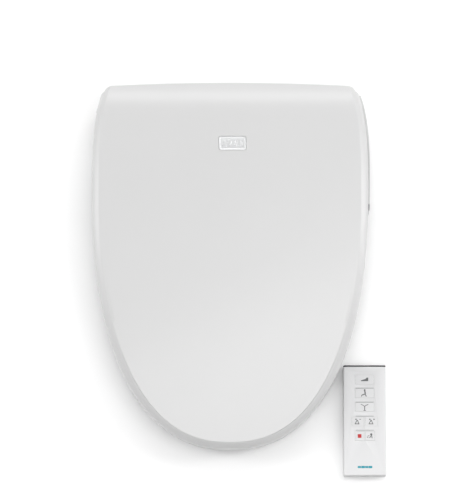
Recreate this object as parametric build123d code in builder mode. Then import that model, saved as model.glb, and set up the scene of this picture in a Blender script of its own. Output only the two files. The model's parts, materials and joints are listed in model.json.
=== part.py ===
from build123d import *
import os
from math import cos, pi, radians, sin, sqrt, tan

# Electric bidet seat with lid, seat ring, rear housing and hand remote.
# Millimetres. +X is the sitter's left hand side, +Y points to the rear, +Z up.
# Z = 0 is the plane of the bowl rim. The origin is the midpoint between the two
# bowl bolt holes, on the underside of the mounting plate.

os.makedirs("parts", exist_ok=True)

# ------------------------------------------------------------ driving dimensions
# Plan outline, shared by the lid, the seat and the housing
half_width = 198.0        # half width at the widest line
widest_y = -95.0          # where the outline is widest
tip_y = -462.0            # front tip of the lid
rear_y = 60.0             # rear edge of the lid, at its middle
rear_arch = 5.0           # how far the rear edge comes forward at its corners
rear_narrowing = 17.0     # how much the half width shrinks towards the rear
nose_power = 2.33         # superellipse power of the front outline
corner_r = 12.0           # plan radius of the rear corners

# Hinge line and lid
hinge_y = 22.0
hinge_z = 75.0
lid_r = 57.0              # outer radius of the lid about the hinge line
crown_tilt = 6.0          # slope in degrees where the long crown starts
crown_r = 5800.0          # radius of the long crown
lid_wall = 3.0
rim_tip_z = 41.0          # lower edge of the lid's rim at the tip
rim_side_z = 65.0         # and where it meets the housing
rim_hinge_z = 112.0       # and over the hinge
badge_size = (39.0, 19.5)
badge_place = (3.6, -31.0)
badge_depth = 1.6
badge_corner = 3.0
badge_play = 0.3          # round the badge in its recess
badge_sink = 0.5          # badge face under the lid's top
ripple_size = (8.0, 1.6)
ripple_height = 0.4
ripple_pitch = 5.2
ripple_count = 6

# Hinge stack across X, counted inwards from the rear half width
cheek_width = 7.5
ear_width = 12.0
arm_width = 17.0
side_gap = 1.5            # gap between neighbours in the stack
pin_r = 6.0
pin_play = 0.05           # radial play on the hinge pins
knuckle_r = 14.0          # round end of the ears and arms
damper_length = 28.0
damper_r = 13.0

# Seat ring
seat_inset = 3.0          # seat outline inside the lid outline
seat_floor = 12.0         # underside of the seat
seat_tip_z = 38.0         # top of the seat at the tip
seat_rear_z = 60.0        # top of the seat at its rear edge
seat_rear_y = -118.0
seat_wall = 3.0
opening_half = 108.0      # half width of the opening
front_band = 55.0         # seat width between tip and opening
rear_band = 45.0          # seat width between opening and rear edge

# Housing
housing_gap = 3.0         # between the seat's rear edge and the housing
shell = 3.0
lid_clear = 4.0           # between the lid's inside and the housing
rim_clear = 2.0           # between the lid's rim and the housing's cheeks
barrel_r = 35.0           # round of the cheeks about the hinge line
rear_wall_y = 48.0
tray_z = 7.0              # underside of the tray
split_z = 24.0            # where tray and cover meet
plan_gap = 1.0            # housing outline inside the lid outline
front_chamfer = 14.0
panel_out = 3.6           # side panel outside the lid outline
panel_depth = 5.0         # side panel inside the lid outline
panel_rear = 44.0         # rear end of the side panel

# Nozzle bay and wands
bay_half = 72.0
bay_front = -158.0
bay_top = 41.5
bay_floor = 8.0
wand_tilt = 8.0
wand_r = 6.5
wand_offset = 16.0
wand_length = 182.0
wand_travel = 85.0
wand_tip_length = 24.0
port_z = 22.0
port_clear = 1.5
tip_setback = 4.0
gear_module = 1.0
pinion_teeth = 12
pinion_width = 5.0
rack_width = 4.0
rack_pitch_height = 8.5   # pitch line of the rack above the wand's axis
rack_start = 88.0
motor_r = 11.0
motor_length = 18.0

# Bowl fixing
bolt_spacing = 140.0
bolt_hole_r = 4.25
plate_size = (186.0, 70.0)
plate_thick = 6.0
bushing_r = 12.0

# Remote
remote_size = (61.0, 160.0, 18.0)
remote_corner = 1.5
remote_wall = 2.0
remote_ahead = 126.0      # top end of the remote behind the lid's tip
remote_gap = 1.8          # between the remote and the lid outline
key_gap = 0.15
key_thick = 2.0

# ------------------------------------------------------------ worked out from these
reach = widest_y - tip_y
rear_half = half_width - rear_narrowing
cheek_in = rear_half - cheek_width
ear_out = cheek_in - side_gap
ear_in = ear_out - ear_width
arm_out = ear_in - side_gap
arm_in = arm_out - arm_width
core_half = arm_in - side_gap
front_wall_y = seat_rear_y + housing_gap
room_half = core_half - shell
room_rear = rear_wall_y - shell
room_front = front_wall_y + shell
room_floor = tray_z + shell
wide = 3 * half_width
high = 400.0
opening_front = tip_y + front_band
opening_rear = seat_rear_y - rear_band
opening_mid = (opening_front + opening_rear) / 2
opening_reach = (opening_rear - opening_front) / 2
hinge = (hinge_y, hinge_z)


# ------------------------------------------------------------ shared shapes
def outline_x(y, inset=0.0):
    """Half width of the plan outline at y."""
    if y > widest_y:
        share = (y - widest_y) / (rear_y - rear_arch - widest_y)
        return half_width - inset - rear_narrowing * share**3
    share = (widest_y - y) / (reach - inset)
    return (half_width - inset) * (1 - share**nose_power) ** (1 / nose_power)


def plan(height, inset=0.0):
    """Closed plan outline at a height, parallel to the lid's edge."""
    corner_y = rear_y - rear_arch - inset
    sides = [(outline_x(widest_y + (corner_y - widest_y) * k / 4, inset),
              widest_y + (corner_y - widest_y) * k / 4) for k in (4, 3, 2, 1)]
    nose = []
    for k in range(9):
        turn = k * pi / 18
        across = (half_width - inset) * cos(turn) ** (2 / nose_power)
        ahead = (reach - inset) * sin(turn) ** (2 / nose_power)
        nose.append((across, widest_y - ahead))
    right = sides + nose
    left = [(-x, y) for x, y in reversed(right)]
    slope = 3 * rear_narrowing / (corner_y - widest_y)
    with BuildSketch(Plane.XY.offset(height)) as face:
        with BuildLine():
            Spline(*right, (0, tip_y + inset), *left, tangents=[(slope, -1), (slope, 1)])
            ThreePointArc(left[-1], (0, rear_y - inset), right[0])
        make_face()
        fillet(face.vertices().group_by(Axis.Y)[-1], max(corner_r - inset, 2.0))
    return face.sketch


def crown_z(y, drop=0.0):
    """Height of the lid's top in side view, or of a line that far under it."""
    tilt = radians(crown_tilt)
    if y > hinge_y - (lid_r - drop) * sin(tilt):
        return hinge_z + sqrt((lid_r - drop) ** 2 - (y - hinge_y) ** 2)
    centre_y = hinge_y + (crown_r - lid_r) * sin(tilt)
    centre_z = hinge_z - (crown_r - lid_r) * cos(tilt)
    return centre_z + sqrt((crown_r - drop) ** 2 - (y - centre_y) ** 2)


def crown(drop=0.0):
    """Side view of all that lies under the lid's top."""
    tilt = radians(crown_tilt)
    with BuildSketch(Plane.YZ) as face:
        with BuildLine():
            back = CenterArc(hinge, lid_r - drop, 0, 90 + crown_tilt)
            turn = 1.12 * (reach + hinge_y - widest_y) / crown_r * 180 / pi
            top = JernArc(back @ 1, (-cos(tilt), -sin(tilt)), crown_r - drop, turn)
            low = (hinge_y + lid_r - drop, -high)
            Polyline(back @ 0, low, ((top @ 1).X, -high), top @ 1)
        make_face()
    return face.sketch


def under_rim(gap=0.0):
    """Side view of all that lies under the lid's rim, a gap lower."""
    slope = (rim_side_z - rim_tip_z) / (seat_rear_y - tip_y)
    far = tip_y - 60
    with BuildSketch(Plane.YZ) as face:
        with BuildLine():
            front = (far, rim_tip_z - gap + slope * (far - tip_y))
            joint = (seat_rear_y, rim_side_z - gap)
            over = (hinge_y, rim_hinge_z - gap)
            Line(front, joint)
            Spline(joint, over, tangents=[(1, slope), (1, 0)])
            Polyline(over, (rear_y + 60, over[1]), (rear_y + 60, -high), (far, -high), front)
        make_face()
    return face.sketch


def cheek_side(gap):
    """Side view of a cheek: under the rim, round about the hinge line at its rear."""
    low_angle = -53.0
    radius = barrel_r + rim_clear - gap
    with BuildSketch(Plane.YZ) as face:
        with BuildLine():
            start = (hinge_y, hinge_z + radius)
            arc = CenterArc(hinge, radius, 90, low_angle - 90)
            wall = rear_wall_y + rim_clear - gap
            turn_z = hinge_z + (wall - hinge_y) * tan(radians(low_angle)) - 1
            joint = (seat_rear_y, rim_side_z - gap)
            slope = (rim_side_z - rim_tip_z) / (seat_rear_y - tip_y)
            Polyline(arc @ 1, (wall, turn_z), (wall, -high), (joint[0], -high), joint)
            Spline(joint, start, tangents=[(1, slope), (1, 0)])
        make_face()
    return face.sketch


def side_view(*points, x=0.0):
    """Closed polygon of (y, z) points on a plane across X."""
    with BuildSketch(Plane.YZ.offset(x)) as face:
        Polygon(*points, align=None)
    return face.sketch


def disc(place, radius, direction):
    """Circle at a point, facing a direction."""
    with BuildSketch(Plane(origin=place, z_dir=direction)) as face:
        Circle(radius)
    return face.sketch


def block(xs, ys, zs, mode=Mode.ADD):
    """Box between pairs of X, Y and Z limits, in the part being built."""
    middle = ((xs[0] + xs[1]) / 2, (ys[0] + ys[1]) / 2, (zs[0] + zs[1]) / 2)
    with Locations(middle):
        Box(xs[1] - xs[0], ys[1] - ys[0], zs[1] - zs[0], mode=mode)


def rod(place, radius, length, direction, mode=Mode.ADD):
    """Round bar from a point, in the part being built."""
    extrude(disc(place, radius, direction), amount=length, mode=mode)


X_DIR = (1, 0, 0)
Y_DIR = (0, 1, 0)
Z_DIR = (0, 0, 1)


# ------------------------------------------------------------ lid
with BuildPart() as lid_space:
    extrude(plan(0, lid_wall), amount=high)
    extrude(crown(lid_wall), amount=wide, both=True, mode=Mode.INTERSECT)

with BuildPart() as lid_outer:
    extrude(plan(0), amount=high)
    extrude(crown(), amount=wide, both=True, mode=Mode.INTERSECT)

badge_x, badge_y = badge_place
badge_lean = (crown_z(badge_y + 5) - crown_z(badge_y - 5)) / 10
badge_plane = Plane(
    origin=(badge_x, badge_y, crown_z(badge_y)), x_dir=X_DIR, z_dir=(0, -badge_lean, 1)
)

with BuildPart() as lid_ears:
    for side in (-1, 1):
        start = side * ear_in
        for shape in (
            side_view((hinge_y - knuckle_r, hinge_z), (hinge_y + knuckle_r, hinge_z),
                      (hinge_y + knuckle_r, high), (hinge_y - knuckle_r, high), x=start),
            disc((start, hinge_y, hinge_z), knuckle_r, X_DIR),
        ):
            extrude(shape, amount=side * ear_width)
        rod((start, hinge_y, hinge_z), pin_r + pin_play, side * ear_width, X_DIR, Mode.SUBTRACT)
    extrude(crown(lid_wall / 2), amount=wide, both=True, mode=Mode.INTERSECT)
    add(lid_outer.part, mode=Mode.INTERSECT)

with BuildPart() as lid_shell:
    add(lid_outer.part)
    add(lid_space.part, mode=Mode.SUBTRACT)
    extrude(under_rim(), amount=wide, both=True, mode=Mode.SUBTRACT)
    add(lid_ears.part)
    with BuildSketch(badge_plane) as recess:
        RectangleRounded(badge_size[0] + 2 * badge_play, badge_size[1] + 2 * badge_play,
                         badge_corner + badge_play)
    extrude(amount=-badge_depth, mode=Mode.SUBTRACT)
lid_shell.part.label = "lid_shell"
export_step(lid_shell.part, "parts/lid_shell.step")

with BuildPart() as lid_badge:
    with BuildSketch(badge_plane.offset(-badge_depth)) as plate:
        RectangleRounded(*badge_size, badge_corner)
    extrude(amount=badge_depth - badge_sink)
    with BuildSketch(badge_plane.offset(-badge_sink)) as ripples:
        with GridLocations(ripple_pitch, 0, ripple_count, 1):
            SlotOverall(*ripple_size, rotation=65)
    extrude(amount=ripple_height)
lid_badge.part.label = "lid_badge"
export_step(lid_badge.part, "parts/lid_badge.step")


def seat_top(y):
    """Height of the seat's flat top at y."""
    return seat_tip_z + (seat_rear_z - seat_tip_z) * (y - tip_y) / (seat_rear_y - tip_y)


bumper_rests = (opening_front + 15, opening_rear - 30)


def ring_mid(y):
    """Middle of the seat ring between its outline and its opening."""
    share = (y - opening_mid) / opening_reach
    inner = opening_half * sqrt(1 - share**2)
    return (outline_x(y, seat_inset) + inner) / 2


lid_bumper_clear = 1.0    # between the closed lid's pads and the seat
lid_bumper_r = 7.0
with BuildPart() as lid_bumpers:
    for side in (-1, 1):
        for rest_y in bumper_rests:
            foot_z = seat_top(rest_y) + lid_bumper_clear
            with BuildSketch(Plane.XY.offset(foot_z)) as pad:
                with Locations((side * ring_mid(rest_y), rest_y)):
                    Circle(lid_bumper_r)
            extrude(amount=high)
    extrude(crown(lid_wall), amount=wide, both=True, mode=Mode.INTERSECT)
lid_bumpers.part.label = "lid_bumpers"
export_step(lid_bumpers.part, "parts/lid_bumpers.step")


# ------------------------------------------------------------ seat
def under_seat_top(drop=0.0):
    """Side view of all that lies under the seat's flat top."""
    far = tip_y - 50
    return side_view((far, seat_top(far) - drop), (0, seat_top(0) - drop), (0, -high), (far, -high))


def opening(height, grow=0.0):
    """Plan of the seat's opening."""
    with BuildSketch(Plane.XY.offset(height)) as face:
        with Locations((0, opening_mid)):
            Ellipse(opening_half + grow, opening_reach + grow)
    return face.sketch


bay_clear = 4.0           # between the nozzle bay and the seat
bridge_z = bay_top + 3.0  # underside of the seat over the nozzle bay
bridge_half = bay_half + bay_clear
bridge_front = bay_front - 30
arm_start = seat_rear_y - 22   # where the hinge arms leave the ring
arm_height = 25.0

with BuildPart() as seat_space:
    extrude(plan(seat_floor, seat_inset + seat_wall), amount=high)
    block((-wide, wide), (seat_rear_y - seat_wall, high), (0, high * 2), Mode.SUBTRACT)
    extrude(opening(0, seat_wall), amount=high, mode=Mode.SUBTRACT)
    extrude(under_seat_top(seat_wall), amount=wide, both=True, mode=Mode.INTERSECT)
    block((-bridge_half - seat_wall, bridge_half + seat_wall), (bridge_front, 0),
          (0, bridge_z + seat_wall), Mode.SUBTRACT)

with BuildPart() as seat_top_shell:
    extrude(plan(seat_floor, seat_inset), amount=high)
    block((-wide, wide), (seat_rear_y, high), (0, high * 2), Mode.SUBTRACT)
    extrude(opening(0), amount=high, mode=Mode.SUBTRACT)
    extrude(under_seat_top(), amount=wide, both=True, mode=Mode.INTERSECT)
    block((-bridge_half, bridge_half), (bridge_front, 0), (0, bridge_z), Mode.SUBTRACT)
    add(seat_space.part, mode=Mode.SUBTRACT)
    for side in (-1, 1):
        arm_low = seat_top(arm_start) - arm_height
        extrude(
            side_view((arm_start, arm_low), (arm_start, seat_top(arm_start) - 1),
                      (hinge_y, hinge_z + knuckle_r - 0.05), (hinge_y, hinge_z - knuckle_r + 0.05),
                      x=side * arm_in),
            amount=side * arm_width,
        )
        rod((side * arm_in, hinge_y, hinge_z), knuckle_r, side * arm_width, X_DIR)
        rod((side * arm_in, hinge_y, hinge_z), pin_r + pin_play, side * arm_width, X_DIR, Mode.SUBTRACT)
seat_top_shell.part.label = "seat_top_shell"
export_step(seat_top_shell.part, "parts/seat_top_shell.step")

plate_play = 0.2
with BuildPart() as seat_bottom_shell:
    extrude(plan(seat_floor, seat_inset + seat_wall + plate_play), amount=seat_wall)
    block((-wide, wide), (seat_rear_y - seat_wall - plate_play, high), (0, high), Mode.SUBTRACT)
    extrude(opening(0, seat_wall + plate_play), amount=high, mode=Mode.SUBTRACT)
    block((-bridge_half - seat_wall - plate_play, bridge_half + seat_wall + plate_play),
          (bridge_front - plate_play, 0), (0, high), Mode.SUBTRACT)
seat_bottom_shell.part.label = "seat_bottom_shell"
export_step(seat_bottom_shell.part, "parts/seat_bottom_shell.step")

foil_edge = 9.0
foil_thick = 0.7
foil_gap = 0.2            # between the foil and the seat's top wall
with BuildPart() as seat_heater_foil:
    extrude(plan(seat_floor, seat_inset + foil_edge), amount=high)
    block((-wide, wide), (seat_rear_y - 24, high), (0, high * 2), Mode.SUBTRACT)
    extrude(opening(0, foil_edge), amount=high, mode=Mode.SUBTRACT)
    extrude(under_seat_top(seat_wall + foil_gap), amount=wide, both=True, mode=Mode.INTERSECT)
    extrude(under_seat_top(seat_wall + foil_gap + foil_thick), amount=wide, both=True, mode=Mode.SUBTRACT)
seat_heater_foil.part.label = "seat_heater_foil"
export_step(seat_heater_foil.part, "parts/seat_heater_foil.step")

bumper_size = (34.0, 15.0)
with BuildPart() as seat_bumpers:
    for side in (-1, 1):
        for rest_y in bumper_rests:
            with BuildSketch(Plane.XY) as pad:
                with Locations((side * ring_mid(rest_y), rest_y)):
                    SlotOverall(*bumper_size, rotation=90 - side * 25)
            extrude(amount=seat_floor)
    fillet(seat_bumpers.edges().group_by(Axis.Z)[0], 2.0)
seat_bumpers.part.label = "seat_bumpers"
export_step(seat_bumpers.part, "parts/seat_bumpers.step")

# ------------------------------------------------------------ housing
# The arm channels run each side between core and cheek; their floors follow the arms.
floor_front = seat_top(arm_start) - arm_height - 3
floor_rear = hinge_z - knuckle_r - 5
floor_line = ((front_wall_y, floor_front), (hinge_y - 20, floor_rear - 3), (hinge_y, floor_rear),
              (rear_wall_y, floor_rear))
core_low = -high
core_top_y = front_wall_y + front_chamfer


def core_side(drop, trim):
    """Side view of the core, under the lid, with walls moved in by trim."""
    chamfer_z = crown_z(core_top_y, lid_wall + lid_clear)
    return side_view(
        (front_wall_y + trim, core_low), (front_wall_y + trim, chamfer_z - front_chamfer - trim / 2),
        (core_top_y + trim / 2, chamfer_z + 0.3 - drop), (core_top_y + trim / 2, high),
        (rear_wall_y - trim, high), (rear_wall_y - trim, core_low),
    )


def channel_side(drop, trim):
    """Side view under the floor of an arm channel."""
    (y0, z0), (y1, z1), (y2, z2), (y3, z3) = floor_line
    return side_view((y0 + trim, core_low), (y0 + trim, z0 - drop), (y1, z1 - drop), (y2, z2 - drop),
                     (y3 - trim, z3 - drop), (y3 - trim, core_low))


with BuildPart() as core_outer:
    block((-core_half, core_half), (front_wall_y, rear_wall_y), (split_z, high))
    extrude(core_side(0, 0), amount=wide, both=True, mode=Mode.INTERSECT)
    extrude(crown(lid_wall + lid_clear), amount=wide, both=True, mode=Mode.INTERSECT)

with BuildPart() as channel_outer:
    block((-cheek_in - shell, cheek_in + shell), (front_wall_y, rear_wall_y), (split_z, high))
    extrude(channel_side(0, 0), amount=wide, both=True, mode=Mode.INTERSECT)

with BuildPart() as core_room:
    block((-room_half, room_half), (room_front, room_rear), (tray_z, high))
    extrude(core_side(shell, shell), amount=wide, both=True, mode=Mode.INTERSECT)
    extrude(crown(lid_wall + lid_clear + shell), amount=wide, both=True, mode=Mode.INTERSECT)

with BuildPart() as cheek_room:
    extrude(plan(tray_z, plan_gap + panel_depth + shell), amount=high)
    block((-wide, wide), (-high * 2, room_front), (0, high * 2), Mode.SUBTRACT)
    block((-cheek_in - shell, cheek_in + shell), (-high, high), (0, high * 2), Mode.SUBTRACT)
    extrude(cheek_side(rim_clear + shell), amount=wide, both=True, mode=Mode.INTERSECT)

with BuildPart() as channel_room:
    extrude(plan(tray_z, plan_gap + panel_depth + shell), amount=high)
    block((-wide, wide), (-high * 2, room_front), (0, high * 2), Mode.SUBTRACT)
    block((-wide, wide), (room_rear, high), (0, high * 2), Mode.SUBTRACT)
    extrude(channel_side(shell, shell), amount=wide, both=True, mode=Mode.INTERSECT)

with BuildPart() as panel_bed:
    extrude(plan(0), amount=high)
    extrude(plan(0, panel_depth), amount=high, mode=Mode.SUBTRACT)
    block((-wide, 0), (-wide, wide), (0, high), Mode.SUBTRACT)
    block((0, wide), (panel_rear, wide), (0, high), Mode.SUBTRACT)

# Openings shared by the tray and the cover
cartridge_y = (-70.0, -20.0)
cartridge_z = (11.5, 34.0)
cartridge_clear = 0.5
cartridge_in = -core_half + 28
release_y = (-108.0, -88.0)
release_z = (14.0, 26.0)
release_clear = 0.4
inlet_y = 22.0
inlet_z = 27.0
inlet_half = 18.0         # half height of the inlet's pocket
inlet_wall = 2.0
pocket_in = 14 - cheek_in
gland_x = room_half - 27
gland_z = 38.0
gland_r = 7.0
outside = -half_width - 20
post_r = 5.0
posts = [(sx * (room_half - 4), py) for sx in (-1, 1) for py in (room_front + 4, room_rear - 4)]
screw_r = 2.0
board_z = 84.0
board_thick = 1.6
board_y = (room_front + 6, -52.0)
board_half = 90.0
standoffs = [(sx * (board_half - 6), by) for sx in (-1, 1) for by in (board_y[0] + 6, board_y[1] - 6)]


def cut_openings():
    """Cut the side, front and rear openings from the shell being built."""
    block((outside, -arm_in), (cartridge_y[0] - cartridge_clear, cartridge_y[1] + cartridge_clear),
          (cartridge_z[0] - cartridge_clear, cartridge_z[1] + cartridge_clear), Mode.SUBTRACT)
    block((outside, -arm_out), (release_y[0] - release_clear, release_y[1] + release_clear),
          (release_z[0] - release_clear, release_z[1] + release_clear), Mode.SUBTRACT)
    block((shell - bay_half, bay_half - shell), (front_wall_y - 1, room_front + 1),
          (room_floor, bay_top - shell), Mode.SUBTRACT)
    rod((gland_x, room_rear - 1, gland_z), gland_r, shell + 2, Y_DIR, Mode.SUBTRACT)
    block((outside, pocket_in), (inlet_y - inlet_half, inlet_y + inlet_half),
          (room_floor, inlet_z + inlet_half), Mode.SUBTRACT)


with BuildPart() as housing_cover:
    extrude(plan(split_z, plan_gap), amount=high)
    block((-wide, wide), (-high * 2, front_wall_y), (0, high * 2), Mode.SUBTRACT)
    block((-wide, wide), (rear_wall_y, high), (0, high * 2), Mode.SUBTRACT)
    extrude(cheek_side(rim_clear), amount=wide, both=True, mode=Mode.INTERSECT)
    block((-cheek_in, cheek_in), (-high, high), (0, high * 2), Mode.SUBTRACT)
    add(panel_bed.part, mode=Mode.SUBTRACT)
    add(channel_outer.part)
    add(core_outer.part)
    for room in (core_room, cheek_room, channel_room):
        add(room.part, mode=Mode.SUBTRACT)
    for x, y in posts:
        rod((x, y, split_z), post_r, inlet_z + inlet_half - split_z, Z_DIR)
        rod((x, y, 0), screw_r, inlet_z + inlet_half - 6, Z_DIR, Mode.SUBTRACT)
    for x, y in standoffs:
        rod((x, y, board_z + board_thick), 3.0,
            crown_z(y, lid_wall + lid_clear + 1) - board_z - board_thick, Z_DIR)
    cut_openings()
    for side in (-1, 1):
        rod((side * (room_half - 1), hinge_y, hinge_z), pin_r, side * (cheek_in - room_half + 12), X_DIR,
            Mode.SUBTRACT)
housing_cover.part.label = "housing_cover"
export_step(housing_cover.part, "parts/housing_cover.step")

with BuildPart() as tray_room:
    extrude(plan(room_floor, plan_gap + panel_depth + shell), amount=split_z)
    block((-wide, wide), (-high * 2, room_front), (0, high), Mode.SUBTRACT)
    block((-wide, wide), (room_rear, high), (0, high), Mode.SUBTRACT)

with BuildPart() as base_tray:
    extrude(plan(tray_z, plan_gap), amount=split_z - tray_z)
    block((-wide, wide), (-high * 2, front_wall_y), (0, high), Mode.SUBTRACT)
    block((-wide, wide), (rear_wall_y, high), (0, high), Mode.SUBTRACT)
    add(panel_bed.part, mode=Mode.SUBTRACT)
    add(tray_room.part, mode=Mode.SUBTRACT)
    for x, y in posts:
        rod((x, y, tray_z), post_r, split_z - tray_z, Z_DIR)
        rod((x, y, 0), screw_r, split_z, Z_DIR, Mode.SUBTRACT)
    cut_openings()
    for side in (-1, 1):
        rod((side * bolt_spacing / 2, 0, 0), bushing_r + 1, room_floor, Z_DIR, Mode.SUBTRACT)
base_tray.part.label = "base_tray"
export_step(base_tray.part, "parts/base_tray.step")

button_r = 7.0
button_travel = 1.2
button_y = (-50.0, -78.0)
button_z = 52.0
button_play = 0.3
button_thick = 3.4
button_proud = 0.2        # button faces outside the panel
window_width = 7.0        # receiver window along the panel
window_low = rim_side_z - 22
fit_gap = 0.2             # between shells that meet
with BuildPart() as side_panel:
    extrude(plan(tray_z + 2, -panel_out), amount=high)
    extrude(plan(0, panel_depth - fit_gap), amount=high, mode=Mode.SUBTRACT)
    block((-wide, 0), (-wide, wide), (0, high * 2), Mode.SUBTRACT)
    block((0, wide), (panel_rear - fit_gap, wide), (0, high * 2), Mode.SUBTRACT)
    block((0, wide), (-wide, front_wall_y), (0, high * 2), Mode.SUBTRACT)
    extrude(cheek_side(rim_clear), amount=wide, both=True, mode=Mode.INTERSECT)
    for y in button_y:
        rod((0, y, button_z), button_r + button_play, wide, X_DIR, Mode.SUBTRACT)
    block((0, wide), (front_wall_y, front_wall_y + window_width), (window_low, high), Mode.SUBTRACT)
side_panel.part.label = "side_panel"
export_step(side_panel.part, "parts/side_panel.step")

with BuildPart() as receiver_window:
    extrude(plan(window_low + fit_gap, -panel_out), amount=high)
    extrude(plan(0, panel_depth - fit_gap), amount=high, mode=Mode.SUBTRACT)
    block((-wide, 0), (-wide, wide), (0, high * 2), Mode.SUBTRACT)
    block((0, wide), (front_wall_y + window_width - fit_gap, wide), (0, high * 2), Mode.SUBTRACT)
    block((0, wide), (-wide, front_wall_y), (0, high * 2), Mode.SUBTRACT)
    extrude(cheek_side(rim_clear), amount=wide, both=True, mode=Mode.INTERSECT)
receiver_window.part.label = "receiver_window"
export_step(receiver_window.part, "parts/receiver_window.step")

for number, y in enumerate(button_y, 1):
    face_x = outline_x(y, -panel_out) + button_proud
    with BuildPart() as side_button:
        rod((face_x - button_thick, y, button_z), button_r, button_thick, X_DIR)
        fillet(side_button.edges().group_by(Axis.X)[-1], 0.8)
    side_button.part.label = f"side_button_{number}"
    export_step(side_button.part, f"parts/side_button_{number}.step")

# ------------------------------------------------------------ fixing to the bowl
grip_slot = (88.0, 6.0)
grip_pitch = 44.0
foot_size = (40.0, 16.0)
foot_pitch = 118.0
with BuildPart() as mounting_plate:
    with BuildSketch() as plate_face:
        RectangleRounded(*plate_size, 8.0)
        with Locations((-bolt_spacing / 2, 0), (bolt_spacing / 2, 0)):
            Circle(bushing_r, mode=Mode.SUBTRACT)
        with GridLocations(0, grip_pitch, 1, 2):
            SlotOverall(*grip_slot, mode=Mode.SUBTRACT)
    extrude(amount=plate_thick)
    fillet(mounting_plate.edges().group_by(Axis.Z)[-1].sort_by(SortBy.LENGTH)[-4:], 1.0)
mounting_plate.part.label = "mounting_plate"
export_step(mounting_plate.part, "parts/mounting_plate.step")

with BuildPart() as bolt_bushings:
    with BuildSketch() as ring_face:
        with Locations((-bolt_spacing / 2, 0), (bolt_spacing / 2, 0)):
            Circle(bushing_r)
            Circle(bolt_hole_r, mode=Mode.SUBTRACT)
    extrude(amount=plate_thick)
bolt_bushings.part.label = "bolt_bushings"
export_step(bolt_bushings.part, "parts/bolt_bushings.step")

with BuildPart() as rubber_feet:
    with BuildSketch() as feet_face:
        with GridLocations(2 * arm_in, foot_pitch, 2, 2):
            with Locations((0, (front_wall_y + rear_wall_y) / 2)):
                RectangleRounded(*foot_size, 5)
    extrude(amount=tray_z)
rubber_feet.part.label = "rubber_feet"
export_step(rubber_feet.part, "parts/rubber_feet.step")

with BuildPart() as case_screws:
    for x, y in posts:
        rod((x, y, tray_z + 1), screw_r, inlet_z - 2, Z_DIR)
        rod((x, y, tray_z - 2.5), 2 * screw_r, 2.5, Z_DIR)
        rod((x, y, tray_z), screw_r, 2, Z_DIR)
case_screws.part.label = "case_screws"
export_step(case_screws.part, "parts/case_screws.step")

# ------------------------------------------------------------ hinge hardware
damper_start = room_half - 7
with BuildPart() as hinge_pins:
    for side in (-1, 1):
        rod((side * damper_start, hinge_y, hinge_z), pin_r, side * (cheek_in - damper_start + 2), X_DIR)
hinge_pins.part.label = "hinge_pins"
export_step(hinge_pins.part, "parts/hinge_pins.step")

with BuildPart() as seat_damper:
    rod((damper_start, hinge_y, hinge_z), damper_r, -damper_length, X_DIR)
    chamfer(seat_damper.edges(), 1.5)
seat_damper.part.label = "seat_damper"
export_step(seat_damper.part, "parts/seat_damper.step")

with BuildPart() as lid_damper:
    rod((-damper_start, hinge_y, hinge_z), damper_r, damper_length, X_DIR)
    chamfer(lid_damper.edges(), 1.5)
lid_damper.part.label = "lid_damper"
export_step(lid_damper.part, "parts/lid_damper.step")

# ------------------------------------------------------------ nozzle bay and wands
lean = radians(wand_tilt)
tip_at_y = bay_front + tip_setback
tip_at_z = port_z + tip_setback * tan(lean)
backward = (0, cos(lean), sin(lean))
forward = (0, -cos(lean), -sin(lean))


def on_wand(x, back, up=0.0):
    """Point beside a wand: a distance behind its tip and above its axis."""
    return (x, tip_at_y + back * cos(lean) - up * sin(lean), tip_at_z + back * sin(lean) + up * cos(lean))


outlet_x = (34.0, 64.0)
outlet_z = (12.0, 33.0)
flap_play = 0.5
with BuildPart() as nozzle_bay:
    block((-bay_half, bay_half), (bay_front, front_wall_y), (bay_floor, bay_top))
    fillet(nozzle_bay.edges().filter_by(Axis.Z).group_by(Axis.Y)[0], 10.0)
    fillet(nozzle_bay.faces().sort_by(Axis.Z)[-1].edges().group_by(Axis.Y)[0], 2.0)
    block((shell - bay_half, bay_half - shell), (bay_front + shell, front_wall_y + 1),
          (bay_floor + shell, bay_top - shell), Mode.SUBTRACT)
    for side in (-1, 1):
        rod(on_wand(side * wand_offset, 30), wand_r + port_clear, 50, forward, Mode.SUBTRACT)
    block(outlet_x, (bay_front - 1, bay_front + shell + 1), outlet_z, Mode.SUBTRACT)
nozzle_bay.part.label = "nozzle_bay"
export_step(nozzle_bay.part, "parts/nozzle_bay.step")

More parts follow.
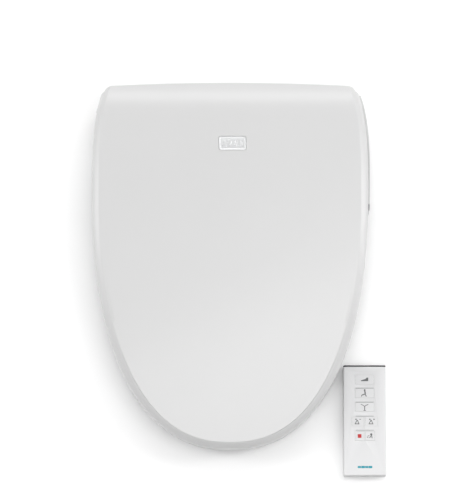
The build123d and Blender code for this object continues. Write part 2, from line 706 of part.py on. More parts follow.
pinion_r = gear_module * pinion_teeth / 2
tooth_pitch = pi * gear_module
pinion_back = rack_start + 4
pinion_up = rack_pitch_height + pinion_r
wand_names = (("rear", -1), ("front", 1))
for name, side in wand_names:
    x = side * wand_offset
    with BuildPart() as wand:
        rod(on_wand(x, wand_length), wand_r, wand_length - wand_tip_length, forward)
        low = rack_pitch_height - 1.25 * gear_module
        edge = [(rack_start, wand_r - 2), (rack_start, low)]
        teeth = int((wand_length - pinion_back) / tooth_pitch)
        for k in range(-1, teeth):
            middle = pinion_back + (k + 0.5) * tooth_pitch
            edge += [(middle - 1.1, low), (middle - 0.36, low + 2.05), (middle + 0.36, low + 2.05),
                     (middle + 1.1, low)]
        edge += [(wand_length, low), (wand_length, wand_r - 2)]
        rack_plane = Plane(origin=on_wand(x - rack_width / 2, 0), x_dir=backward, z_dir=X_DIR)
        with BuildSketch(rack_plane) as rack:
            Polygon(*edge, align=None)
        extrude(amount=rack_width)
    wand.part.label = f"{name}_wand"
    export_step(wand.part, f"parts/{name}_wand.step")

    holes = 3 if name == "rear" else 5
    with BuildPart() as tip:
        rod(on_wand(x, wand_tip_length), wand_r, wand_tip_length, forward)
        fillet(tip.edges().sort_by(Axis.Y)[0], 3.5)
        for k in range(holes):
            rod(on_wand(x + (k % 2) * 2 - 1, 7 + 2.2 * k, wand_r - 2), 0.5, 5, (0, -sin(lean), cos(lean)),
                Mode.SUBTRACT)
    tip.part.label = f"{name}_wand_tip"
    export_step(tip.part, f"parts/{name}_wand_tip.step")

    with BuildPart() as pinion:
        hub = on_wand(x - pinion_width / 2, pinion_back, pinion_up)
        with BuildSketch(Plane(origin=hub, x_dir=backward, z_dir=X_DIR)) as gear:
            Circle(pinion_r - 1.25 * gear_module)
            with PolarLocations(0, pinion_teeth):
                Polygon((pinion_r - 1.6, -1.0), (pinion_r + 0.8, -0.34), (pinion_r + 0.8, 0.34),
                        (pinion_r - 1.6, 1.0), align=None)
        extrude(amount=pinion_width)
        rod(on_wand(x, pinion_back, pinion_up), 1.5, side * 12, X_DIR)
    pinion.part.label = f"{name}_pinion"
    export_step(pinion.part, f"parts/{name}_pinion.step")

with BuildPart() as stepper_motors:
    for side in (-1, 1):
        spot = on_wand(side * (wand_offset + wand_r + 1.5), pinion_back, pinion_up)
        rod(spot, motor_r, side * motor_length, X_DIR)
        rod(spot, 1.5 + pin_play, side * 7, X_DIR, Mode.SUBTRACT)
stepper_motors.part.label = "stepper_motors"
export_step(stepper_motors.part, "parts/stepper_motors.step")

cradle_back = (30.0, wand_length - 20)
cradle_half = wand_offset + wand_r + 3
cradle_play = 0.4
cradle_floor = wand_r + 3
cradle_rim = 2.0
with BuildPart() as wand_cradle:
    cradle_plane = Plane(origin=on_wand(-cradle_half, 0), x_dir=backward, z_dir=X_DIR)
    with BuildSketch(cradle_plane) as trough:
        Polygon((cradle_back[0], -cradle_floor), (cradle_back[1], -cradle_floor),
                (cradle_back[1], -cradle_rim), (cradle_back[0], -cradle_rim), align=None)
    extrude(amount=2 * cradle_half)
    for y in (-90.0, -20.0):
        foot_top = tip_at_z + (y - tip_at_y) * tan(lean) - wand_r - 1.5
        block((-wand_offset + 2, wand_offset - 2), (y - 4, y + 4), (room_floor, foot_top))
    for side in (-1, 1):
        rod(on_wand(side * wand_offset, wand_length), wand_r + cradle_play, wand_length, forward, Mode.SUBTRACT)
wand_cradle.part.label = "wand_cradle"
export_step(wand_cradle.part, "parts/wand_cradle.step")

flap_z = outlet_z[1] - 1.5
with BuildPart() as dryer_flap:
    block((outlet_x[0] + flap_play, outlet_x[1] - flap_play), (bay_front + 0.2, bay_front + 1.8),
          (outlet_z[0] + flap_play, flap_z))
    rod((outlet_x[0] + flap_play, bay_front + 1, flap_z), 0.8, outlet_x[1] - outlet_x[0] - 2 * flap_play, X_DIR)
dryer_flap.part.label = "dryer_flap"
export_step(dryer_flap.part, "parts/dryer_flap.step")

# ------------------------------------------------------------ warm air dryer
blower_x = (33.0, 65.0)
blower_y = -5.0
blower_z = 50.0
blower_r = 30.0
blower_wall = 2.0
intake_r = 14.0
wheel_r = 24.0
wheel_width = 20.0
wheel_hub = 6.0
blade_count = 24
shaft_r = 2.0
duct_wall = 1.5
duct_front = bay_front + shell + 0.5
with BuildPart() as blower_housing:
    rod((blower_x[0], blower_y, blower_z), blower_r, blower_x[1] - blower_x[0], X_DIR)
    block(blower_x, (blower_y - blower_r - 4, blower_y), (blower_z - blower_r, blower_z - 12))
    rod((blower_x[0] + blower_wall, blower_y, blower_z), blower_r - blower_wall,
        blower_x[1] - blower_x[0] - 2 * blower_wall, X_DIR, Mode.SUBTRACT)
    block((blower_x[0] + blower_wall, blower_x[1] - blower_wall), (blower_y - blower_r - 5, blower_y),
          (blower_z - blower_r + blower_wall, blower_z - 12 - blower_wall), Mode.SUBTRACT)
    rod((blower_x[1] - 3, blower_y, blower_z), shaft_r + 0.4, 6, X_DIR, Mode.SUBTRACT)
    rod((blower_x[0] - 1, blower_y, blower_z), intake_r, 5, X_DIR, Mode.SUBTRACT)
blower_housing.part.label = "blower_housing"
export_step(blower_housing.part, "parts/blower_housing.step")

with BuildPart() as blower_wheel:
    with BuildSketch(Plane.YZ.offset(blower_x[0] + 5)) as back_plate:
        with Locations((blower_y, blower_z)):
            Circle(wheel_r)
            Circle(shaft_r + pin_play, mode=Mode.SUBTRACT)
    extrude(amount=1.5)
    with BuildSketch(Plane.YZ.offset(blower_x[0] + 5)) as blades:
        with Locations((blower_y, blower_z)):
            with PolarLocations(wheel_r - 4, blade_count):
                Rectangle(7, 1.2, rotation=35)
            Circle(wheel_hub)
            Circle(shaft_r + pin_play, mode=Mode.SUBTRACT)
    extrude(amount=wheel_width)
blower_wheel.part.label = "blower_wheel"
export_step(blower_wheel.part, "parts/blower_wheel.step")

with BuildPart() as blower_motor:
    rod((blower_x[1] + 1, blower_y, blower_z), 15, 22, X_DIR)
    chamfer(blower_motor.edges(), 1.0)
    rod((blower_x[0] + 6, blower_y, blower_z), shaft_r, blower_x[1] - blower_x[0] - 4, X_DIR)
blower_motor.part.label = "blower_motor"
export_step(blower_motor.part, "parts/blower_motor.step")

duct_rear = blower_y - blower_r - 4.5
heater_gap = 3.0          # between the heater and the duct's outside
heater_length = 36.0
with BuildPart() as dryer_duct:
    block(outlet_x, (duct_front, duct_rear), outlet_z)
    block((outlet_x[0] + duct_wall, outlet_x[1] - duct_wall), (duct_front - 1, duct_rear + 1),
          (outlet_z[0] + duct_wall, outlet_z[1] - duct_wall), Mode.SUBTRACT)
dryer_duct.part.label = "dryer_duct"
export_step(dryer_duct.part, "parts/dryer_duct.step")

with BuildPart() as dryer_heater:
    block((outlet_x[0] + heater_gap, outlet_x[1] - heater_gap), (duct_rear - heater_length - 4, duct_rear - 4),
          (outlet_z[0] + heater_gap, outlet_z[1] - heater_gap))
    with BuildSketch(Plane.XZ.offset(-duct_rear)) as slots:
        with Locations(((outlet_x[0] + outlet_x[1]) / 2, (outlet_z[0] + outlet_z[1]) / 2)):
            with GridLocations(5, 0, 4, 1):
                Rectangle(3, 11)
    extrude(amount=60, mode=Mode.SUBTRACT)
dryer_heater.part.label = "dryer_heater"
export_step(dryer_heater.part, "parts/dryer_heater.step")

# ------------------------------------------------------------ water path
tank_x = (-88.0, -30.0)
tank_y = (-28.0, 40.0)
tank_z = (room_floor + 12, 58.0)
tank_wall = 3.0
with BuildPart() as water_tank:
    block(tank_x, tank_y, tank_z)
    fillet(water_tank.edges(), 4.0)
    with Locations(((tank_x[0] + tank_x[1]) / 2, (tank_y[0] + tank_y[1]) / 2, (tank_z[0] + tank_z[1]) / 2)):
        Box(tank_x[1] - tank_x[0] - 2 * tank_wall, tank_y[1] - tank_y[0] - 2 * tank_wall,
            tank_z[1] - tank_z[0] - 2 * tank_wall, mode=Mode.SUBTRACT)
water_tank.part.label = "water_tank"
export_step(water_tank.part, "parts/water_tank.step")

valve_length = 34.0
valve_half = 14.0
nipple_bore_r = 6.5
with BuildPart() as inlet_valve:
    block((pocket_in + fit_gap, pocket_in + valve_length), (inlet_y - valve_half, inlet_y + valve_half),
          (room_floor, inlet_z + valve_half - 1))
    fillet(inlet_valve.edges().filter_by(Axis.Z), 3.0)
    rod((pocket_in + 18, inlet_y, inlet_z + 10), 8, 12, Z_DIR)
inlet_valve.part.label = "inlet_valve"
export_step(inlet_valve.part, "parts/inlet_valve.step")

nipple_r = 10.48          # half-inch pipe thread, outside
nipple_length = 16.0
with BuildPart() as water_inlet_nipple:
    rod((pocket_in + fit_gap, inlet_y, inlet_z), nipple_r, -nipple_length - fit_gap, X_DIR)
    chamfer(water_inlet_nipple.edges().sort_by(Axis.X)[0], 1.0)
    rod((pocket_in + 1, inlet_y, inlet_z), nipple_bore_r, -nipple_length - 2, X_DIR, Mode.SUBTRACT)
water_inlet_nipple.part.label = "water_inlet_nipple"
export_step(water_inlet_nipple.part, "parts/water_inlet_nipple.step")

tube_r = 3.0
diverter_half = 22.0
diverter_y = (8.0, 32.0)
diverter_z = (68.0, 88.0)
diverter_mid = (20.0, 78.0)
with BuildPart() as diverter_valve:
    block((-diverter_half, diverter_half), diverter_y, diverter_z)
    fillet(diverter_valve.edges().filter_by(Axis.Z), 4.0)
    rod((0, diverter_mid[0], diverter_z[1]), 8, 8, Z_DIR)
    for side in (-1, 1):
        rod((side * 14, diverter_y[0], diverter_mid[1]), tube_r, -6, Y_DIR)
diverter_valve.part.label = "diverter_valve"
export_step(diverter_valve.part, "parts/diverter_valve.step")

with BuildPart() as water_tubes:
    routes = (
        ((pocket_in + valve_length, inlet_y + 2, inlet_z), (tank_x[0] - 10, inlet_y + 2, inlet_z),
         (tank_x[0] - 10, inlet_y - 22, inlet_z + 12), (tank_x[0], inlet_y - 22, inlet_z + 12)),
        ((tank_x[1] - 12, diverter_mid[0], tank_z[1]), (tank_x[1] - 12, *diverter_mid),
         (-diverter_half, *diverter_mid)),
    )
    for route in routes:
        with BuildLine(mode=Mode.PRIVATE) as path:
            FilletPolyline(*route, radius=7.0)
        start = Plane(origin=path.line @ 0, z_dir=path.line % 0)
        with BuildSketch(start, mode=Mode.PRIVATE) as ring_face:
            Circle(tube_r)
        sweep(ring_face.sketch, path=path.line)
water_tubes.part.label = "water_tubes"
export_step(water_tubes.part, "parts/water_tubes.step")

# ------------------------------------------------------------ odour filter
fan_x = cartridge_in + 12
fan_y = (cartridge_y[0] + cartridge_y[1]) / 2
fan_z = 28.0
fan_r = 13.0
fan_count = 7
fan_hub_r = 4.5
fan_shaft_r = 1.5
with BuildPart() as deodorizer_frame:
    block((fan_x - 6, fan_x + 6), (fan_y - 17, fan_y + 17), (room_floor, fan_z + 17))
    rod((fan_x - 7, fan_y, fan_z), fan_r + 1, 11, X_DIR, Mode.SUBTRACT)
    rod((fan_x + 3, fan_y, fan_z), fan_r - 3, 4, X_DIR, Mode.SUBTRACT)
    block((fan_x + 3, fan_x + 6), (fan_y - fan_r, fan_y + fan_r), (fan_z - 2, fan_z + 2))
    rod((fan_x + 6, fan_y, fan_z), fan_shaft_r, -10, X_DIR)
deodorizer_frame.part.label = "deodorizer_frame"
export_step(deodorizer_frame.part, "parts/deodorizer_frame.step")

with BuildPart() as deodorizer_fan:
    rod((fan_x - 5, fan_y, fan_z), fan_hub_r, 7, X_DIR)
    for k in range(fan_count):
        turn = 2 * pi * k / fan_count
        hub_point = (fan_x - 1.5, fan_y + 3 * cos(turn), fan_z + 3 * sin(turn))
        blade_plane = Plane(origin=hub_point, x_dir=(0.8, -0.6 * sin(turn), 0.6 * cos(turn)),
                            z_dir=(0, cos(turn), sin(turn)))
        with BuildSketch(blade_plane) as blade:
            Rectangle(6.0, 1.0)
        extrude(amount=fan_r - 3.6)
    rod((fan_x - 6, fan_y, fan_z), fan_shaft_r + pin_play, 10, X_DIR, Mode.SUBTRACT)
deodorizer_fan.part.label = "deodorizer_fan"
export_step(deodorizer_fan.part, "parts/deodorizer_fan.step")

cell_size = (5.5, 5.0)
cell_pitch = (7.5, 7.0)
cell_depth = 30.0
with BuildPart() as filter_cartridge:
    extrude(plan(cartridge_z[0], plan_gap), amount=cartridge_z[1] - cartridge_z[0])
    block((-high, cartridge_in), cartridge_y, (0, high), Mode.INTERSECT)
    with BuildSketch(Plane.YZ.offset(cartridge_in)) as cells:
        with Locations((fan_y, sum(cartridge_z) / 2)):
            with GridLocations(*cell_pitch, 6, 2):
                Rectangle(*cell_size)
    extrude(amount=-cell_depth, mode=Mode.SUBTRACT)
filter_cartridge.part.label = "filter_cartridge"
export_step(filter_cartridge.part, "parts/filter_cartridge.step")

with BuildPart() as release_button:
    extrude(plan(release_z[0], plan_gap), amount=release_z[1] - release_z[0])
    block((-high, -ear_out - 8), release_y, (0, high), Mode.INTERSECT)
release_button.part.label = "release_button"
export_step(release_button.part, "parts/release_button.step")

# ------------------------------------------------------------ electronics
with BuildPart() as control_board:
    block((-board_half, board_half), board_y, (board_z, board_z + board_thick))
    for x, y, size in ((-50, -80, (30, 24, 10)), (0, -78, (18, 18, 3)), (50, -82, (26, 18, 14))):
        block((x - size[0] / 2, x + size[0] / 2), (y - size[1] / 2, y + size[1] / 2),
              (board_z + board_thick, board_z + board_thick + size[2]))
    for x in (-20, 24, 30):
        rod((x, -66, board_z + board_thick), 4, 12, Z_DIR)
control_board.part.label = "control_board"
export_step(control_board.part, "parts/control_board.step")

with BuildPart() as transformer:
    block((room_half - 34, room_half - 4), (-96, -60), (room_floor, 46))
    block((room_half - 39, room_half - 1), (-90, -66), (room_floor + 7, 39))
transformer.part.label = "transformer"
export_step(transformer.part, "parts/transformer.step")

lead_r = 3.6
with BuildPart() as cord_gland:
    rod((gland_x, room_rear - 5, gland_z), gland_r, shell + 8, Y_DIR)
    rod((gland_x, room_rear - 5, gland_z), gland_r + 2, 5, Y_DIR)
    rod((gland_x, rear_wall_y, gland_z), gland_r + 2, 3, Y_DIR)
    rod((gland_x, room_rear - 6, gland_z), lead_r, shell + 10, Y_DIR, Mode.SUBTRACT)
cord_gland.part.label = "cord_gland"
export_step(cord_gland.part, "parts/cord_gland.step")

# ------------------------------------------------------------ remote
# It lies on the rim plane beside the front of the lid, face up.
remote_w, remote_l, remote_h = remote_size
remote_top_y = tip_y + remote_ahead
remote_low_y = remote_top_y - remote_l
remote_left = outline_x(remote_top_y) + remote_gap
remote_x = remote_left + remote_w / 2
remote_mid = (remote_x, remote_top_y - remote_l / 2)
remote_split = 9.0
window_depth = 2.4
window_floor = 3.0        # lower edge of the infrared window
window_sink = 0.6         # window under the remote's face
remote_round = 1.2
battery_r = 5.25
battery_length = 44.5
battery_y = remote_low_y + remote_wall + 0.8
cover_half = 20.0
cover_length = 48.0
cover_play = 0.3


def remote_plan(height, inset=0.0):
    """Rounded rectangle of the remote, at a height."""
    with BuildSketch(Plane.XY.offset(height)) as face:
        with Locations(remote_mid):
            RectangleRounded(remote_w - 2 * inset, remote_l - 2 * inset, max(remote_corner - inset, 0.5))
    return face.sketch


key_rows = ((21.0, ((0.0, 27.0),)), (41.0, ((0.0, 27.0),)), (61.0, ((0.0, 27.0),)),
            (82.0, ((-10.0, 17.0), (10.0, 17.0))), (103.0, ((-7.5, 13.0), (7.5, 13.0))))
key_height = 13.0
keys = [(remote_x + x, remote_top_y - down, width) for down, row in key_rows for x, width in row]
key_names = ("dry_key", "rear_wash_key", "front_wash_key", "pressure_down_key", "pressure_up_key",
             "stop_key", "mode_key")

with BuildPart() as remote_front_shell:
    extrude(remote_plan(remote_split), amount=remote_h - remote_split)
    fillet(remote_front_shell.edges().group_by(Axis.Z)[-1], remote_round)
    extrude(remote_plan(remote_split, remote_wall), amount=remote_h - remote_split - remote_wall,
            mode=Mode.SUBTRACT)
    block((0, wide), (remote_top_y - window_depth, 0), (0, high), Mode.SUBTRACT)
    for x, y, width in keys:
        block((x - width / 2 - key_gap, x + width / 2 + key_gap),
              (y - key_height / 2 - key_gap, y + key_height / 2 + key_gap), (remote_split, high), Mode.SUBTRACT)
remote_front_shell.part.label = "remote_front_shell"
export_step(remote_front_shell.part, "parts/remote_front_shell.step")

with BuildPart() as remote_back_shell:
    extrude(remote_plan(0), amount=remote_split)
    fillet(remote_back_shell.edges().group_by(Axis.Z)[0], remote_round)
    extrude(remote_plan(remote_wall, remote_wall), amount=high, mode=Mode.SUBTRACT)
    block((0, wide), (remote_top_y - window_depth, 0), (window_floor, high), Mode.SUBTRACT)
    block((remote_x - cover_half - cover_play, remote_x + cover_half + cover_play),
          (remote_low_y - 1, remote_low_y + cover_length + cover_play), (-1, remote_wall + 0.1), Mode.SUBTRACT)
remote_back_shell.part.label = "remote_back_shell"
export_step(remote_back_shell.part, "parts/remote_back_shell.step")

with BuildPart() as battery_cover:
    block((remote_x - cover_half, remote_x + cover_half), (remote_low_y + fit_gap, remote_low_y + cover_length),
          (fit_gap, remote_wall))
battery_cover.part.label = "battery_cover"
export_step(battery_cover.part, "parts/battery_cover.step")

with BuildPart() as remote_window:
    extrude(remote_plan(window_floor), amount=remote_h - window_sink - window_floor)
    block((0, wide), (-wide, remote_top_y - window_depth + 0.1), (0, high), Mode.SUBTRACT)
remote_window.part.label = "remote_window"
export_step(remote_window.part, "parts/remote_window.step")

board_top = remote_h - key_thick - 4.5
remote_board_half = 26.0
remote_board_ends = (6.0, 111.0)   # from the remote's top end
remote_board_thick = 1.2
switch_half = 3.0
switch_height = 1.4
with BuildPart() as remote_board:
    block((remote_x - remote_board_half, remote_x + remote_board_half),
          (remote_top_y - remote_board_ends[1], remote_top_y - remote_board_ends[0]),
          (board_top - remote_board_thick, board_top))
    for x, y, _ in keys:
        block((x - switch_half, x + switch_half), (y - switch_half, y + switch_half),
              (board_top, board_top + switch_height))
remote_board.part.label = "remote_board"
export_step(remote_board.part, "parts/remote_board.step")

with BuildPart() as remote_batteries:
    for side in (-1, 1):
        spot = (remote_x + side * (battery_r + 1), battery_y + 1.2, remote_wall + 0.3 + battery_r)
        rod(spot, battery_r, battery_length - 2, Y_DIR)
        rod((spot[0], spot[1] - 0.8, spot[2]), 2, battery_length - 0.4, Y_DIR)
remote_batteries.part.label = "remote_batteries"
export_step(remote_batteries.part, "parts/remote_batteries.step")

key_travel = 0.8
key_round = 0.2
stem_r = 1.6
stem_low = board_top + switch_height + key_travel + fit_gap
for key_name, (x, y, width) in zip(key_names, keys):
    with BuildPart() as key:
        block((x - width / 2, x + width / 2), (y - key_height / 2, y + key_height / 2),
              (remote_h - key_thick, remote_h))
        fillet(key.edges().group_by(Axis.Z)[-1], key_round)
        rod((x, y, stem_low), stem_r, remote_h - key_thick - stem_low, Z_DIR)
    key.part.label = key_name
    export_step(key.part, f"parts/{key_name}.step")
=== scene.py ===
"""Finishes the electric bidet seat: lid, seat, housing, remote, materials, light and camera."""

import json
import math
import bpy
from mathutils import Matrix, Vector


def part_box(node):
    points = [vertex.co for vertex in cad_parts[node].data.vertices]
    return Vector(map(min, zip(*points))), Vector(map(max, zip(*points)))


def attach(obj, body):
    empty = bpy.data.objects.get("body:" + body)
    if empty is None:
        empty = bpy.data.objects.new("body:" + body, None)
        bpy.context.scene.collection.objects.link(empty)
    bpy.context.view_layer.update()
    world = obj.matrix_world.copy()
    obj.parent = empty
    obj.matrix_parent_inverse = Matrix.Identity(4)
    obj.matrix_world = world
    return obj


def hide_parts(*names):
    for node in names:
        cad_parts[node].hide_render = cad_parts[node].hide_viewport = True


bl_info = {
    "name": "Bidet Seat Finish",
    "version": (1, 0, 0),
    "blender": (4, 5, 0),
    "location": "View3D > Sidebar > Bidet Seat",
    "description": "Builds the visible skins, prints, materials and studio of a bidet seat",
    "category": "Object",
}

import bmesh
import bpy
from mathutils import Matrix, Vector

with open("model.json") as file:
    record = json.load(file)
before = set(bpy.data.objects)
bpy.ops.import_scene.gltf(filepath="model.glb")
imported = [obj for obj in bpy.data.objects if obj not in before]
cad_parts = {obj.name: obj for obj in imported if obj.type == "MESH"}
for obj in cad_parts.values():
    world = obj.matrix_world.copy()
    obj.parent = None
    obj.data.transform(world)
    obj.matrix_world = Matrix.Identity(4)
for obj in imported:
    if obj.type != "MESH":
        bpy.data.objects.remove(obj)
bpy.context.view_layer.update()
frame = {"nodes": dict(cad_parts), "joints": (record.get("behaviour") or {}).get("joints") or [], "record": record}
NODES = frame["nodes"]
JOINTS = {joint["name"]: joint for joint in frame["joints"]}

# Places read from the frame
LID_LOW, LID_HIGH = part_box("lid_shell")
SEAT_LOW, SEAT_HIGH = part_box("seat_top_shell")
BADGE_LOW, BADGE_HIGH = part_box("lid_badge")
REMOTE_LOW, REMOTE_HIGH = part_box("remote_front_shell")
BAY_LOW, BAY_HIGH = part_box("nozzle_bay")
HINGE = Vector(JOINTS["seat_hinge"]["pos_m"])
MM = 0.001


# ---------------------------------------------------------------- sizes a user can change
class LidSizes(bpy.types.PropertyGroup):
    """Shape of the lid's skin."""

    bevel_width: bpy.props.FloatProperty(
        name="Edge width", description="Width of the rounded edge in plan", default=0.0105, unit="LENGTH")
    bevel_drop: bpy.props.FloatProperty(
        name="Edge drop", description="Height of the rounded edge", default=0.013, unit="LENGTH")
    rear_edge: bpy.props.FloatProperty(
        name="Rear edge", description="Width of the rounded edge along the rear", default=0.0016,
        unit="LENGTH")
    front_edge: bpy.props.FloatProperty(
        name="Front edge", description="Width of the rounded edge at the tip", default=0.0075, unit="LENGTH")
    groove: bpy.props.FloatProperty(
        name="Crease depth", description="Depth of the crease round the front", default=0.0006, unit="LENGTH")
    edge_turn: bpy.props.FloatProperty(
        name="Edge turn", description="How far the edge turns in before the crease", default=math.radians(62),
        subtype="ANGLE")
    wall: bpy.props.FloatProperty(
        name="Wall", description="Thickness of the lid", default=0.003, unit="LENGTH")
    nose_power: bpy.props.FloatProperty(
        name="Nose power", description="Superellipse power of the front outline", default=2.33)
    widest_y: bpy.props.FloatProperty(
        name="Widest line", description="Where the outline is widest", default=-0.095, unit="LENGTH")
    narrowing: bpy.props.FloatProperty(
        name="Rear narrowing", description="Half width lost towards the rear", default=0.017, unit="LENGTH")
    colour: bpy.props.FloatVectorProperty(
        name="Colour", description="Colour of the lid", default=(0.525, 0.525, 0.525), subtype="COLOR")


class SeatSizes(bpy.types.PropertyGroup):
    """Shape of the seat's skin."""

    round_out: bpy.props.FloatProperty(
        name="Outer round", description="Rounding of the outer edge", default=0.011, unit="LENGTH")
    round_in: bpy.props.FloatProperty(
        name="Inner round", description="Rounding towards the opening", default=0.012, unit="LENGTH")
    fall_in: bpy.props.FloatProperty(
        name="Inner fall", description="Depth of the rounding towards the opening", default=0.012,
        unit="LENGTH")
    dish: bpy.props.FloatProperty(
        name="Dish", description="Fall of the top towards the opening", default=0.002, unit="LENGTH")
    colour: bpy.props.FloatVectorProperty(
        name="Colour", description="Colour of the seat", default=(0.57, 0.57, 0.57), subtype="COLOR")


class StageSizes(bpy.types.PropertyGroup):
    """Sizes of the camera."""

    elevation: bpy.props.FloatProperty(
        name="Elevation", description="Camera elevation", default=math.radians(80), subtype="ANGLE")
    distance: bpy.props.FloatProperty(
        name="Distance", description="Camera distance", default=6.0, unit="LENGTH")
    frame_height: bpy.props.FloatProperty(
        name="Frame height", description="Height of the view at the lid", default=0.718, unit="LENGTH")


# ---------------------------------------------------------------- shared mesh helpers
def new_piece(name, mesh, material, body, replaced=()):
    """Links a finished mesh as a piece riding on a body."""
    piece = bpy.data.objects.new(name, mesh)
    bpy.context.scene.collection.objects.link(piece)
    if material is not None:
        mesh.materials.clear()
        mesh.materials.append(material)
    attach(piece, body)
    if replaced:
        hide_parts(*replaced)
    return piece


def mesh_from(bm, name, sharp_angle=38.0):
    """Turns a bmesh into a smooth-shaded mesh with its hard edges kept."""
    bmesh.ops.recalc_face_normals(bm, faces=bm.faces)
    mesh = bpy.data.meshes.new(name)
    bm.to_mesh(mesh)
    bm.free()
    mesh.polygons.foreach_set("use_smooth", [True] * len(mesh.polygons))
    mesh.set_sharp_from_angle(angle=math.radians(sharp_angle))
    return mesh


def band(bm, low, high):
    """Faces between two closed rows of vertices."""
    for i in range(len(low)):
        j = (i + 1) % len(low)
        bm.faces.new((low[i], low[j], high[j], high[i]))


def skin(rings, closed_tube=False, cap_first=False, cap_last=False):
    """Faces between rings of equal count, as a bmesh."""
    bm = bmesh.new()
    rows = [[bm.verts.new(point) for point in ring] for ring in rings]
    count = len(rows[0])
    pairs = list(zip(rows, rows[1:]))
    if closed_tube:
        pairs.append((rows[-1], rows[0]))
    for low, high in pairs:
        band(bm, low, high)
    for wanted, row in ((cap_first, rows[0]), (cap_last, rows[-1])):
        if wanted:
            middle = bm.verts.new(sum((v.co for v in row), Vector()) / count)
            for i in range(count):
                bm.faces.new((row[i], row[(i + 1) % count], middle))
    return bm


def applied(piece):
    """Replaces a piece's mesh by its evaluated one and drops its modifiers."""
    graph = bpy.context.evaluated_depsgraph_get()
    result = bpy.data.meshes.new_from_object(piece.evaluated_get(graph))
    old = piece.data
    piece.modifiers.clear()
    piece.data = result
    bpy.data.meshes.remove(old)
    return piece


def softened(node, width, segments=3, angle=32.0):
    """Copy of a node's mesh with its edges rounded, to stand for the node."""
    source = NODES[node]
    bm = bmesh.new()
    bm.from_mesh(source.data)
    bmesh.ops.remove_doubles(bm, verts=bm.verts, dist=0.00002)
    bmesh.ops.dissolve_limit(bm, angle_limit=math.radians(0.6), verts=bm.verts, edges=bm.edges)
    mesh = bpy.data.meshes.new(node + "_skin")
    bm.to_mesh(mesh)
    bm.free()
    piece = bpy.data.objects.new(node + "_skin", mesh)
    bpy.context.scene.collection.objects.link(piece)
    bevel = piece.modifiers.new("edges", "BEVEL")
    bevel.width = width
    bevel.segments = segments
    bevel.limit_method = "ANGLE"
    bevel.angle_limit = math.radians(angle)
    bevel.harden_normals = False
    bevel.use_clamp_overlap = True
    applied(piece)
    piece.data.polygons.foreach_set("use_smooth", [True] * len(piece.data.polygons))
    piece.data.set_sharp_from_angle(angle=math.radians(40))
    return piece


def stand_in(node, width, material, body, segments=3, angle=32.0):
    """Rounded copy that replaces a node."""
    piece = softened(node, width, segments, angle)
    piece.data.materials.clear()
    piece.data.materials.append(material)
    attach(piece, body)
    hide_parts(node)
    return piece


def raised_marks(name, outlines, height, z, material, body):
    """Thin raised shapes from closed outlines of (x, y) points."""
    bm = bmesh.new()
    for outline in outlines:
        low = [bm.verts.new((x, y, z)) for x, y in outline]
        high = [bm.verts.new((x, y, z + height)) for x, y in outline]
        bm.faces.new(low)
        bm.faces.new(high)
        band(bm, low, high)
    return new_piece(name, mesh_from(bm, name), material, body)


# ---------------------------------------------------------------- materials
def shader(name):
    """New node material with its Principled shader."""
    material = bpy.data.materials.new(name)
    material.use_nodes = True
    return material, material.node_tree, material.node_tree.nodes["Principled BSDF"]


def object_noise(tree, scale, detail=3.0, stretch=(1, 1, 1)):
    """Noise on Object coordinates."""
    place = tree.nodes.new("ShaderNodeTexCoord")
    mapping = tree.nodes.new("ShaderNodeMapping")
    mapping.inputs["Scale"].default_value = stretch
    noise = tree.nodes.new("ShaderNodeTexNoise")
    noise.inputs["Scale"].default_value = scale
    noise.inputs["Detail"].default_value = detail
    tree.links.new(place.outputs["Object"], mapping.inputs["Vector"])
    tree.links.new(mapping.outputs["Vector"], noise.inputs["Vector"])
    return noise


def ramp(tree, source, low, high, start=0.35, stop=0.65):
    """Maps a source onto a range."""
    node = tree.nodes.new("ShaderNodeMapRange")
    node.inputs["From Min"].default_value = start
    node.inputs["From Max"].default_value = stop
    node.inputs["To Min"].default_value = low
    node.inputs["To Max"].default_value = high
    tree.links.new(source, node.inputs["Value"])
    return node.outputs["Result"]


def tinted(tree, source, colour, spread):
    """Colour that drifts slightly with a source."""
    node = tree.nodes.new("ShaderNodeMix")
    node.data_type = "RGBA"
    node.inputs["A"].default_value = (*[c * (1 - spread) for c in colour], 1)
    node.inputs["B"].default_value = (*[min(1.0, c * (1 + spread)) for c in colour], 1)
    tree.links.new(source, node.inputs["Factor"])
    return node.outputs["Result"]


def bumped(tree, principled, source, strength, distance):
    """Adds bump from a source to the shader."""
    bump = tree.nodes.new("ShaderNodeBump")
    bump.inputs["Strength"].default_value = strength
    bump.inputs["Distance"].default_value = distance
    tree.links.new(source, bump.inputs["Height"])
    tree.links.new(bump.outputs["Normal"], principled.inputs["Normal"])


def plastic(name, colour, rough=0.32, grain=900.0, depth=0.00004, coat=0.0, spread=0.015, soft=0.0):
    """Moulded plastic: faint colour drift, fine grain, uneven gloss."""
    material, tree, principled = shader(name)
    drift = object_noise(tree, 9.0, 2.0)
    fine = object_noise(tree, grain, 2.0)
    tree.links.new(tinted(tree, drift.outputs["Fac"], colour, spread), principled.inputs["Base Color"])
    tree.links.new(ramp(tree, fine.outputs["Fac"], rough * 0.9, rough * 1.12), principled.inputs["Roughness"])
    bumped(tree, principled, fine.outputs["Fac"], 0.35, depth)
    principled.inputs["Coat Weight"].default_value = coat
    principled.inputs["Coat Roughness"].default_value = 0.12
    principled.inputs["IOR"].default_value = 1.5
    principled.inputs["Subsurface Weight"].default_value = soft
    principled.inputs["Subsurface Scale"].default_value = 0.004
    return material


